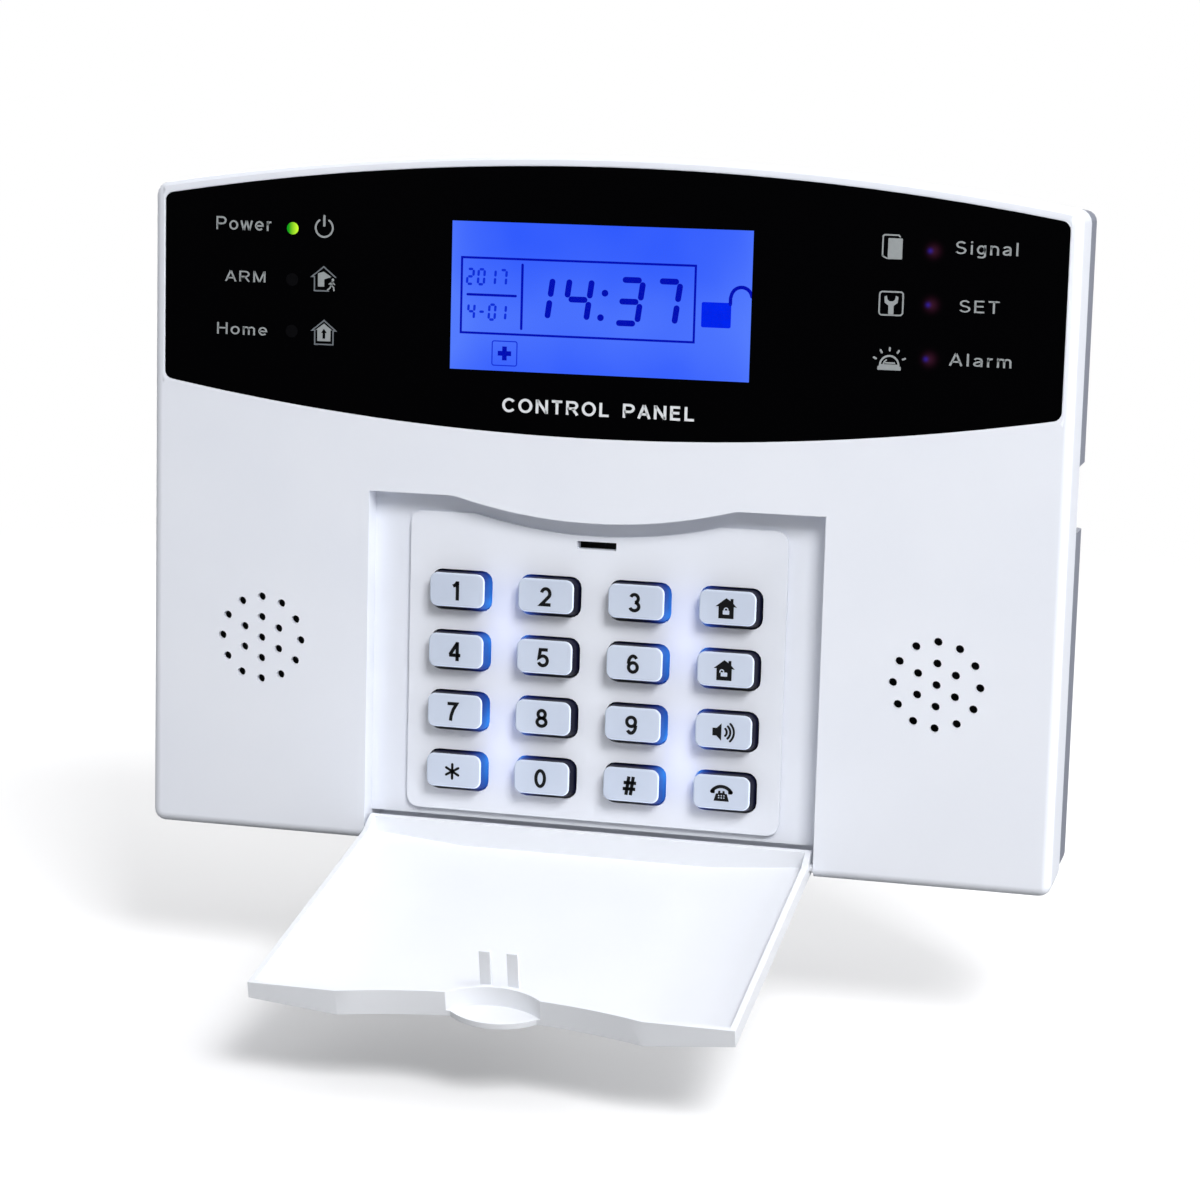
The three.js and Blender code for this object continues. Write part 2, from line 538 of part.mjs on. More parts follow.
// The lid's faceted wedge: flat in the middle and sloping to the sides. inset shrinks it.
function lidWedge(inset, backY) {
  const side = LID.halfWidth - inset;
  const points = [];
  for (const [z, fold] of [[-80, LID_FOLD.bottom], [10, LID_FOLD.top]]) {
    for (const sign of [-1, 1]) {
      points.push(new THREE.Vector3(sign * side, FRONT_Y + inset, z));
      points.push(new THREE.Vector3(sign * fold, FRONT_Y - LID.proud + inset, z));
      points.push(new THREE.Vector3(sign * side, backY, z));
    }
  }
  return toSolid(new ConvexGeometry(points));
}

// The lid's outline, offset inwards from its outer edge.
function lidOutline(inset) {
  return dippedShape(LID.halfWidth - inset, LID.bottom + inset, OPENING.top - GAP - inset,
    OPENING.dip, OPENING.dipHalfWidth);
}

// Radius of the arc with this half chord and this rise.
function arcRadius(halfChord, rise) {
  return (halfChord ** 2 + rise ** 2) / (2 * rise);
}

// Two posts that snap into the latch slot.
function lidProngs(rootY) {
  const z = [PRONG.z - PRONG.thickness / 2, PRONG.z + PRONG.thickness / 2];
  const sides = [[PRONG.inner, PRONG.outer], [-PRONG.outer, -PRONG.inner]];
  return sides.map((x) => box(x, [rootY, PRONG.tipY], z));
}

// The wall along the hinge is taller than the lid's other walls. A gusset at each end slopes down to them.
function hingeWall() {
  const rootY = LID.backY - 0.2;
  const wall = box([-LID.halfWidth, LID.halfWidth], [rootY, HINGE_WALL.backY],
    [LID.bottom, LID.bottom + LID.thickness]);
  const profile = [[rootY, LID.bottom], [rootY, HINGE_WALL.gussetTop],
    [HINGE_WALL.backY, LID.bottom + HINGE_WALL.gussetStep], [HINGE_WALL.backY, LID.bottom]];
  const gussets = [-1, 1].map((sign) => toSolid(new ConvexGeometry(
    [LID.halfWidth, LID.halfWidth - LID.thickness].flatMap(
      (x) => profile.map(([y, z]) => new THREE.Vector3(sign * x, y, z))))));
  return joinAll([wall, ...gussets]);
}

function flipLid() {
  const outside = lidWedge(0, LID.backY).intersect(slab(lidOutline(0), -BIG, BIG));
  const inside = lidWedge(LID.thickness, 0).intersect(slab(lidOutline(LID.thickness), -BIG, BIG));
  const tray = outside.subtract(inside);

  const edgeZ = OPENING.top - GAP - OPENING.dip;
  const plateY = [FRONT_Y - LID.proud, FRONT_Y - LID.proud + LID.thickness];
  const tabRadius = arcRadius(TAB_HALF_WIDTH, TAB_RISE);
  const tab = rodY(0, edgeZ + TAB_RISE - tabRadius, tabRadius, plateY, 64);

  const thumbRadius = arcRadius(TAB_HALF_WIDTH, THUMB_DIP);
  const thumbZ = edgeZ - THUMB_DIP + thumbRadius;
  const thumbCut = rodY(0, thumbZ, thumbRadius, [plateY[1], 0], 64);
  const thumbWall = rodY(0, thumbZ, thumbRadius + THUMB_WALL, [plateY[1] - 0.2, LID.backY], 64)
    .intersect(slab(lidOutline(0), -BIG, BIG));

  const root = LID.halfWidth - LID_PIN.root;
  const pins = [[root, LID_PIN.endX], [-LID_PIN.endX, -root]].map(
    (x) => rodX(HINGE_Y, HINGE_Z, LID_PIN.radius, x, 12));
  return joinAll([tray, tab, thumbWall, hingeWall()]).subtract(thumbCut).add(
    joinAll([...lidProngs(plateY[1] - 0.2), ...pins]));
}

// ---------------------------------------------------------------- electronics

function boardScrew([x, z]) {
  const headY = MAIN_BOARD_BACK + GAP;
  const shank = rodY(x, z, BOARD_SCREW.radius, [BOARD_SCREW.tipY, headY + 0.5], 10);
  return shank.add(rodY(x, z, BOARD_SCREW.headRadius, [headY, headY + BOARD_SCREW.headHeight], 14));
}

function loudspeaker() {
  const front = FRONT_Y + WALL + GAP;
  const { radius, flange, coneRadius, magnetRadius, capRadius, depth } = SPEAKER;
  return turned(GRILLE_X, GRILLE_Z, [[0, front + 4], [capRadius, front + 3.4], [coneRadius, front + 0.8],
    [coneRadius, front], [radius, front], [radius, front + flange], [magnetRadius + 2, front + depth - 3.5],
    [magnetRadius, front + depth - 3.5], [magnetRadius, front + depth], [0, front + depth]], 28);
}

function sounder() {
  const front = FRONT_Y + WALL + GAP;
  const { radius, portRadius, depth } = SOUNDER;
  return turned(-GRILLE_X, GRILLE_Z, [[0, front + 2], [portRadius, front + 2], [portRadius, front],
    [radius - 1, front], [radius, front + 1], [radius, front + depth], [0, front + depth]], 24);
}

function batteryPack() {
  const shape = roundedRectangle(BATTERY.x, BATTERY.z, BATTERY.width, BATTERY.height, BATTERY.radius);
  return easedSlab(shape, BATTERY.y[0], BATTERY.y[1], BATTERY.edge, BATTERY.edge, 2);
}

// The range from lower to upper, brought in at both ends.
function shrunk([lower, upper], inset) {
  return [lower + inset, upper - inset];
}

function cellularModule() {
  const front = MAIN_BOARD_BACK + GAP;
  const board = box(CELLULAR.x, [front, front + CELLULAR.boardThickness], CELLULAR.z);
  return board.add(box(shrunk(CELLULAR.x, CELLULAR.canInset), [front + 0.7, front + CELLULAR.height],
    shrunk(CELLULAR.z, CELLULAR.canInset)));
}

function simHolder() {
  const front = MAIN_BOARD_BACK + GAP;
  const holder = box(SIM.x, [front, front + SIM.height], SIM.z);
  const slot = box([SIM.x[0] + SIM.wall, BIG], [front + SIM.slot[0], front + SIM.slot[1]],
    shrunk(SIM.z, SIM.wall));
  return holder.subtract(slot);
}

function radioReceiver() {
  const front = MAIN_BOARD_BACK + GAP;
  const board = box(RECEIVER.x, [front, front + RECEIVER.thickness], RECEIVER.z);
  return board.add(box(RECEIVER.canX, [front + 0.7, front + RECEIVER.canHeight], RECEIVER.canZ));
}

class Helix extends THREE.Curve {
  getPoint(t, target = new THREE.Vector3()) {
    const angle = t * COIL.turns * 2 * Math.PI;
    return target.set(COIL.radius * Math.cos(angle), COIL.radius * Math.sin(angle), COIL.length * t);
  }
}

function antennaCoil() {
  const wire = new THREE.Shape();
  wire.absarc(0, 0, COIL.wireRadius, 0, 2 * Math.PI);
  const geometry = new THREE.ExtrudeGeometry(wire, {
    extrudePath: new Helix(),
    steps: COIL.turns * COIL.stepsPerTurn,
    curveSegments: 3,
    bevelEnabled: false,
  });
  geometry.rotateY(-Math.PI / 2);
  geometry.translate(COIL.x, MAIN_BOARD_BACK + COIL.radius + COIL.gap, COIL.z);
  return toSolid(geometry);
}

function terminalBlock() {
  const backY = TERMINALS.backY;
  const frontY = KEYPAD_BOARD.y[1] + GAP;
  const block = box([-TERMINALS.halfWidth, TERMINALS.halfWidth], [frontY, backY], TERMINALS.z);
  const screwY = [backY - TERMINALS.screwDepth, backY + 1];
  const tools = [];
  for (let i = 0; i < TERMINALS.count; i += 1) {
    const x = (i - (TERMINALS.count - 1) / 2) * TERMINALS.pitch;
    tools.push(rodY(x, TERMINALS.screwZ, TERMINALS.screwRadius, screwY, 8));
    tools.push(box([x - TERMINALS.mouthHalfWidth, x + TERMINALS.mouthHalfWidth], TERMINALS.mouthY,
      [TERMINALS.z[0] - 1, TERMINALS.mouthTop]));
  }
  return cutAll(block, tools);
}

function dcJack() {
  const body = box([JACK.x, SOCKET_X], [JACK.y - JACK.halfSize, JACK.y + JACK.depthBack],
    [SOCKET_Z - JACK.halfSize, SOCKET_Z + JACK.halfSize]);
  const barrel = rodX(JACK.y, SOCKET_Z, JACK.barrelRadius, [SOCKET_X - 1, NOTCH.floorX - 0.2], 18);
  const bore = rodX(JACK.y, SOCKET_Z, JACK.boreRadius, [JACK.boreX, NOTCH.floorX], 16);
  const pin = rodX(JACK.y, SOCKET_Z, JACK.pinRadius, [JACK.boreX - 1, NOTCH.floorX - 1.5], 10);
  return body.add(barrel).subtract(bore).add(pin);
}

function switchBody() {
  const body = box([SWITCH.x, SOCKET_X], [SWITCH.y - SWITCH.depthFront, SWITCH.y + SWITCH.depthBack],
    [SOCKET_Z - SWITCH.halfHeight, SOCKET_Z + SWITCH.halfHeight]);
  const well = box([SWITCH.wellX, BIG], [SWITCH.y - SWITCH.slotHalfDepth, SWITCH.y + SWITCH.slotHalfDepth],
    [SOCKET_Z - SWITCH.slotHalfHeight, SOCKET_Z + SWITCH.slotHalfHeight]);
  return body.subtract(well);
}

function switchSlider() {
  const low = SOCKET_Z - SWITCH.slotHalfHeight + GAP;
  const height = 2 * SWITCH.slotHalfHeight - SWITCH.travel - 2 * GAP;
  return box([SWITCH.sliderX, NOTCH.floorX + SWITCH.proud],
    [SWITCH.y - SWITCH.sliderHalfDepth, SWITCH.y + SWITCH.sliderHalfDepth], [low, low + height]);
}

function tamperBody() {
  const body = box([TAMPER.x - TAMPER.halfSize, TAMPER.x + TAMPER.halfSize], [TAMPER.frontY, -WALL - GAP],
    [TAMPER.z - TAMPER.halfSize, TAMPER.z + TAMPER.halfSize]);
  return body.subtract(rodY(TAMPER.x, TAMPER.z, TAMPER.plungerRadius + GAP, [TAMPER.wellY, 0], 16));
}

function tamperPlunger() {
  return rodY(TAMPER.x, TAMPER.z, TAMPER.plungerRadius, [-TAMPER.plungerLength, 0], 16);
}

// ---------------------------------------------------------------- scene graph

const panel = new THREE.Group();

function add(parent, name, solid, color, roughness = 0.5, metalness = 0) {
  const material = new THREE.MeshStandardMaterial({ color, roughness, metalness });
  const mesh = new THREE.Mesh(toGeometry(solid), material);
  mesh.name = name;
  parent.add(mesh);
}

const WHITE = 0xe9ecf2;
const BLACK = 0x08090b;
const BOARD_GREEN = 0x1f5f38;
const STEEL = 0xb8bcc2;

add(panel, 'front_shell', frontShell(), WHITE, 0.45);
add(panel, 'rear_shell', rearShell(), 0x9a9eac, 0.5);
add(panel, 'window_lens', windowLens(), BLACK, 0.08);
add(panel, 'keypad_plate', keypadPlate(), WHITE, 0.45);
add(panel, 'wall_bracket', wallBracket(), STEEL, 0.4, 0.9);
add(panel, 'lcd_glass', lcdGlass(), 0x3f6cff, 0.1);
add(panel, 'lcd_backlight', lcdBacklight(), 0xdfe8ff, 0.6);
add(panel, 'lcd_frame', lcdFrame(), STEEL, 0.35, 0.9);
add(panel, 'dome_mat', domeMat(), 0xd5d9de, 0.8);
add(panel, 'keypad_board', drilledBoard(KEYPAD_BOARD, STAKE_PLACES, STAKE.holeRadius), 0x15161a);
add(panel, 'main_board', drilledBoard(MAIN_BOARD, BOARD_SCREW_PLACES, BOARD_POST.bore), BOARD_GREEN);
add(panel, 'loudspeaker', loudspeaker(), 0x202124, 0.6);
add(panel, 'sounder', sounder(), 0x18191b, 0.5);
add(panel, 'battery_pack', batteryPack(), 0x2d5fa8, 0.4);
add(panel, 'cellular_module', cellularModule(), STEEL, 0.35, 0.9);
add(panel, 'sim_holder', simHolder(), STEEL, 0.35, 0.9);
add(panel, 'radio_receiver', radioReceiver(), BOARD_GREEN, 0.5);
add(panel, 'antenna_coil', antennaCoil(), 0xb9853a, 0.3, 0.9);
add(panel, 'terminal_block', terminalBlock(), 0x2f7a4c, 0.5);
add(panel, 'dc_jack', dcJack(), BLACK, 0.5);
add(panel, 'switch_body', switchBody(), STEEL, 0.4, 0.8);
add(panel, 'switch_slider', switchSlider(), 0x111214, 0.5);
add(panel, 'tamper_switch', tamperBody(), 0x111214, 0.5);
add(panel, 'tamper_plunger', tamperPlunger(), 0xf0f0ee, 0.5);

LED_NAMES.forEach((names, column) => names.forEach((name, row) => {
  const color = name === 'power_led' ? 0x5cff3a : 0x7a2030;
  add(panel, name, statusLed(LED_COLUMNS[column], LED_ROWS[row]), color, 0.2);
}));

KEY_NAMES.forEach((names, row) => names.forEach((name, column) => {
  add(panel, name, keyCap(KEY_COLUMNS[column], KEY_ROWS[row]), 0xc7cfdd, 0.35);
}));

CASE_SCREW_PLACES.forEach((place, i) => {
  add(panel, `case_screw_${i + 1}`, caseScrew(place), STEEL, 0.3, 0.9);
});
BOARD_SCREW_PLACES.forEach((place, i) => {
  add(panel, `board_screw_${i + 1}`, boardScrew(place), STEEL, 0.3, 0.9);
});

// The lid turns about its pins. Its geometry is moved so that the pins' axis is the group's origin.
const hinge = new THREE.Group();
hinge.position.set(0, HINGE_Y, HINGE_Z);
hinge.rotation.x = THREE.MathUtils.degToRad(LID_OPEN_DEG);
add(hinge, 'flip_lid', flipLid().translate([0, -HINGE_Y, -HINGE_Z]), WHITE, 0.45);
panel.add(hinge);

export default panel;
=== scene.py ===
import json
import math

import bmesh
import bpy
from mathutils import Matrix, Vector
from mathutils.geometry import tessellate_polygon


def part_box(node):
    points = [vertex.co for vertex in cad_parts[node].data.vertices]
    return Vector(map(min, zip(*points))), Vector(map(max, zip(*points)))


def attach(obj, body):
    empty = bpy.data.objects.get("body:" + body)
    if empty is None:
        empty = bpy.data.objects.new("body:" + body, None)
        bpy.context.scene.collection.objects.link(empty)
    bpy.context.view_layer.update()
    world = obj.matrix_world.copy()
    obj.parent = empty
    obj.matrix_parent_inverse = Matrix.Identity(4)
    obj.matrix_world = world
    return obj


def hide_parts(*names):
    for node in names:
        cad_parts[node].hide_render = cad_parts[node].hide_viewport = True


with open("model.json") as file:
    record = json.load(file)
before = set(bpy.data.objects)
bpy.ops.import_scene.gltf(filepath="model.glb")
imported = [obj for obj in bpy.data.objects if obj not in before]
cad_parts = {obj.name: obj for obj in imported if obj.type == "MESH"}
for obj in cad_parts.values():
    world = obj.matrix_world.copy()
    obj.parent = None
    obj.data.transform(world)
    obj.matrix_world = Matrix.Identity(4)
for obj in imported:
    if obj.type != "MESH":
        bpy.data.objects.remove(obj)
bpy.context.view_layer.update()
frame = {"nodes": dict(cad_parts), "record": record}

# Looks of the wall-mounted alarm keypad panel. Shapes are drawn in millimetres in the part's own frame
# (+X right, +Y back to the wall, +Z up, front facing -Y) and become metres when their mesh is made.

MM = 0.001
NODES = frame["nodes"]
BODY_OF = {node: body for body, members in frame["record"]["behaviour"]["bodies"].items() for node in members}


def box_mm(node):
    """Lowest corner, highest corner and centre of a CAD node, in millimetres."""
    low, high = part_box(node)
    return low / MM, high / MM, (low + high) / (2 * MM)


# ---------------------------------------- shader helpers

def colour(red, green, blue):
    """A linear colour from screen values of 0 to 255."""
    def linear(value):
        share = value / 255
        return share / 12.92 if share <= 0.04045 else ((share + 0.055) / 1.055) ** 2.4
    return (linear(red), linear(green), linear(blue), 1.0)


def add_node(tree, kind, inputs, **settings):
    """A new node in a node tree. An input is linked if it is given a socket, and set if given a value."""
    made = tree.nodes.new(kind)
    for key, value in settings.items():
        setattr(made, key, value)
    for key, value in (inputs or {}).items():
        if isinstance(value, bpy.types.NodeSocket):
            tree.links.new(value, made.inputs[key])
        else:
            made.inputs[key].default_value = value
    return made


class Shader:
    """A node material under construction."""

    def __init__(self, name):
        self.material = bpy.data.materials.new(name)
        self.material.use_nodes = True
        self.tree = self.material.node_tree
        self.tree.nodes.clear()

    def add(self, kind, inputs=None, **settings):
        return add_node(self.tree, kind, inputs, **settings)

    def math(self, operation, first, second=0.0):
        return self.add("ShaderNodeMath", {0: first, 1: second}, operation=operation).outputs[0]

    def place(self):
        """The point on the piece, in metres, in the part's frame at rest."""
        return self.add("ShaderNodeTexCoord").outputs["Object"]

    def place_mm(self):
        split = self.add("ShaderNodeSeparateXYZ", {0: self.place()})
        return [self.math("MULTIPLY", split.outputs[axis], 1 / MM) for axis in range(3)]

    def noise(self, scale, detail, roughness=0.5):
        inputs = {"Vector": self.place(), "Scale": scale, "Detail": detail, "Roughness": roughness}
        return self.add("ShaderNodeTexNoise", inputs).outputs["Fac"]

    def spread(self, factor, low, high):
        """factor from 0 to 1 becomes a value from low to high."""
        inputs = {"Value": factor, "To Min": low, "To Max": high}
        return self.add("ShaderNodeMapRange", inputs).outputs[0]

    def mix_colour(self, factor, first, second):
        return self.add("ShaderNodeMix", {0: factor, 6: first, 7: second}, data_type="RGBA").outputs[2]

    def bump(self, height, strength, distance):
        inputs = {"Height": height, "Strength": strength, "Distance": distance}
        return self.add("ShaderNodeBump", inputs).outputs[0]

    def bell(self, value, centre, width):
        """1 where value is at centre, falling smoothly to 0 about two widths away."""
        offset = self.math("DIVIDE", self.math("SUBTRACT", value, centre), width)
        square = self.math("MULTIPLY", offset, offset)
        return self.math("POWER", math.e, self.math("MULTIPLY", square, -1.0))

    def within(self, value, centre, half):
        """1 where value is less than half away from centre, and 0 elsewhere."""
        offset = self.math("ABSOLUTE", self.math("SUBTRACT", value, centre))
        return self.math("LESS_THAN", offset, half)

    def principled(self, inputs):
        return self.add("ShaderNodeBsdfPrincipled", inputs).outputs[0]

    def blend(self, factor, first, second):
        return self.add("ShaderNodeMixShader", {0: factor, 1: first, 2: second}).outputs[0]

    def finish(self, surface):
        self.add("ShaderNodeOutputMaterial", {"Surface": surface})
        return self.material


FINE_GRAIN = 2600                # noise scale of moulded plastic's grain, per metre
SLOW_SHADE = 35                  # noise scale of its slow changes of shade, per metre


def plastic(name, light, dark, roughness, grain=FINE_GRAIN, depth=0.06):
    """Moulded plastic: a fine spark-eroded grain, with slow changes of shade and gloss."""
    shader = Shader(name)
    slow = shader.noise(SLOW_SHADE, 2.0)
    fine = shader.noise(grain, 2.0, 0.6)
    return shader.finish(shader.principled({
        "Base Color": shader.mix_colour(slow, dark, light),
        "Roughness": shader.spread(fine, roughness - 0.06, roughness + 0.06),
        "Normal": shader.bump(fine, depth, 0.1 * MM),
    }))


def metal(name, base, roughness, brush=(900, 60, 60), shine=0.9):
    """Sheet metal with fine brush lines. shine is how much of it reflects as bare metal."""
    shader = Shader(name)
    stretched = shader.add("ShaderNodeVectorMath", {0: shader.place(), 1: brush}, operation="MULTIPLY")
    lines = shader.add("ShaderNodeTexNoise", {"Vector": stretched.outputs[0], "Scale": 12.0, "Detail": 4.0})
    fac = lines.outputs["Fac"]
    return shader.finish(shader.principled({
        "Base Color": shader.mix_colour(fac, tuple(0.8 * c for c in base[:3]) + (1.0,), base),
        "Metallic": shine,
        "Roughness": shader.spread(fac, roughness - 0.08, roughness + 0.1),
        "Normal": shader.bump(fac, 0.08, 0.05 * MM),
    }))


def circuit_board(name, mask, track):
    """Solder mask over faint copper tracks."""
    shader = Shader(name)
    cells = shader.add("ShaderNodeTexBrick", {"Vector": shader.place(), "Scale": 160.0, "Mortar Size": 0.03})
    return shader.finish(shader.principled({
        "Base Color": shader.mix_colour(cells.outputs["Fac"], mask, track),
        "Roughness": 0.35,
        "Normal": shader.bump(cells.outputs["Fac"], 0.2, 0.05 * MM),
    }))


# ---------------------------------------- mesh helpers

def link(name, mesh, material, body):
    """A new piece from a mesh already in metres, riding on a body."""
    piece = bpy.data.objects.new(name, mesh)
    bpy.context.scene.collection.objects.link(piece)
    if material is not None:
        mesh.materials.clear()
        mesh.materials.append(material)
    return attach(piece, body)


PRINT_THICKNESS = 0.04
PRINT_GAP = 0.005                # between a print and the surface behind it


def add_plate(body, loops, y):
    """Adds a thin closed plate whose back is at y. Loops after the first are holes in it."""
    flat = [Vector((x, z, 0)) for loop in loops for x, z in loop]
    front = [body.verts.new(Vector((p.x, y - PRINT_THICKNESS, p.y)) * MM) for p in flat]
    back = [body.verts.new(Vector((p.x, y, p.y)) * MM) for p in flat]
    for corners in tessellate_polygon([[Vector((x, z, 0)) for x, z in loop] for loop in loops]):
        body.faces.new([front[i] for i in corners])
        body.faces.new([back[i] for i in reversed(corners)])
    start = 0
    for loop in loops:
        count = len(loop)
        for i in range(count):
            here = start + i
            after = start + (i + 1) % count
            body.faces.new((front[here], front[after], back[after], back[here]))
        start += count


def printed(name, shapes, y, material, body, at=(0, 0), scale=1.0):
    """A printed mark lying on the surface at depth y. Each shape is a list of closed loops of (x, z)."""
    drawing = bmesh.new()
    for loops in shapes:
        placed = [[(at[0] + scale * x, at[1] + scale * z) for x, z in loop] for loop in loops]
        add_plate(drawing, placed, y - PRINT_GAP)
    bmesh.ops.recalc_face_normals(drawing, faces=drawing.faces)
    mesh = bpy.data.meshes.new(name)
    drawing.to_mesh(mesh)
    drawing.free()
    return link(name, mesh, material, body)


def fitted(shapes, centre, width, height):
    """The shapes brought to a height, and to a width if one is given, about a centre."""
    across = [x for loops in shapes for loop in loops for x, _ in loop]
    up = [z for loops in shapes for loop in loops for _, z in loop]
    scale_z = height / (max(up) - min(up))
    scale_x = width / (max(across) - min(across)) if width else scale_z
    middle_x = (max(across) + min(across)) / 2
    middle_z = (max(up) + min(up)) / 2
    return [[[(centre[0] + (x - middle_x) * scale_x, centre[1] + (z - middle_z) * scale_z) for x, z in loop]
             for loop in loops] for loops in shapes]


# ---------------------------------------- flat shapes, in millimetres

def oval(x, z, across, up, start, end, steps=20):
    """Points along part of an ellipse, with its angles in degrees anticlockwise from +X."""
    angles = [math.radians(start + (end - start) * i / steps) for i in range(steps + 1)]
    return [(x + across * math.cos(a), z + up * math.sin(a)) for a in angles]


def arc(x, z, radius, start, end, steps):
    return oval(x, z, radius, radius, start, end, steps)


def disc(x, z, radius, steps=24):
    return arc(x, z, radius, 0, 360 * (steps - 1) / steps, steps - 1)


def rounded_box(x, z, width, height, radius, steps=6):
    """A box centred on x, z, with rounded corners."""
    inner_x = width / 2 - radius
    inner_z = height / 2 - radius
    corners = ((1, 1, 0), (-1, 1, 90), (-1, -1, 180), (1, -1, 270))
    return [point for sx, sz, start in corners
            for point in arc(x + sx * inner_x, z + sz * inner_z, radius, start, start + 90, steps)]


def unit(x, z):
    length = math.hypot(x, z)
    return x / length, z / length


SHARPEST_MITRE = 0.35            # a corner reaches at most 1 / this many offsets out


def offset_points(points, distance, closed):
    """The points moved sideways, to the left of travel, keeping the line's corners sharp."""
    shifted = []
    count = len(points)
    for i, (x, z) in enumerate(points):
        before = points[i - 1] if closed or i > 0 else None
        after = points[(i + 1) % count] if closed or i < count - 1 else None
        into = unit(x - before[0], z - before[1]) if before else None
        out = unit(after[0] - x, after[1] - z) if after else None
        into = into or out
        out = out or into
        side_x, side_z = unit(-(into[1] + out[1]), into[0] + out[0])
        cosine = max(SHARPEST_MITRE, side_x * -out[1] + side_z * out[0])
        shifted.append((x + side_x * distance / cosine, z + side_z * distance / cosine))
    return shifted


def ring(points, width):
    """A line of this width round a closed loop: an outer loop and a hole."""
    return [offset_points(points, -width / 2, True), offset_points(points, width / 2, True)]


def line(points, width, round_ends=True):
    """A line of this width along an open path: one loop."""
    left = offset_points(points, width / 2, False)
    right = offset_points(points, -width / 2, False)
    if not round_ends:
        return [left + right[::-1]]
    (x0, z0), (x1, z1) = points[0], points[-1]
    end_angle = math.degrees(math.atan2(z1 - points[-2][1], x1 - points[-2][0]))
    start_angle = math.degrees(math.atan2(points[1][1] - z0, points[1][0] - x0))
    end_cap = arc(x1, z1, width / 2, end_angle + 90, end_angle - 90, 8)[1:-1]
    start_cap = arc(x0, z0, width / 2, start_angle - 90, start_angle - 270, 8)[1:-1]
    return [left + end_cap + right[::-1] + start_cap]


def moved(shapes, x, z):
    return [[[(px + x, pz + z) for px, pz in loop] for loop in loops] for loops in shapes]


def house_outline(width, height, eave, roof):
    """A gabled house. eave is how far the roof stands past the walls, roof the roof's share of the height."""
    wall = width / 2 - eave
    low = -height / 2
    eave_z = height / 2 - height * roof
    return [(-wall, low), (wall, low), (wall, eave_z), (width / 2, eave_z), (0, height / 2),
            (-width / 2, eave_z), (-wall, eave_z)]


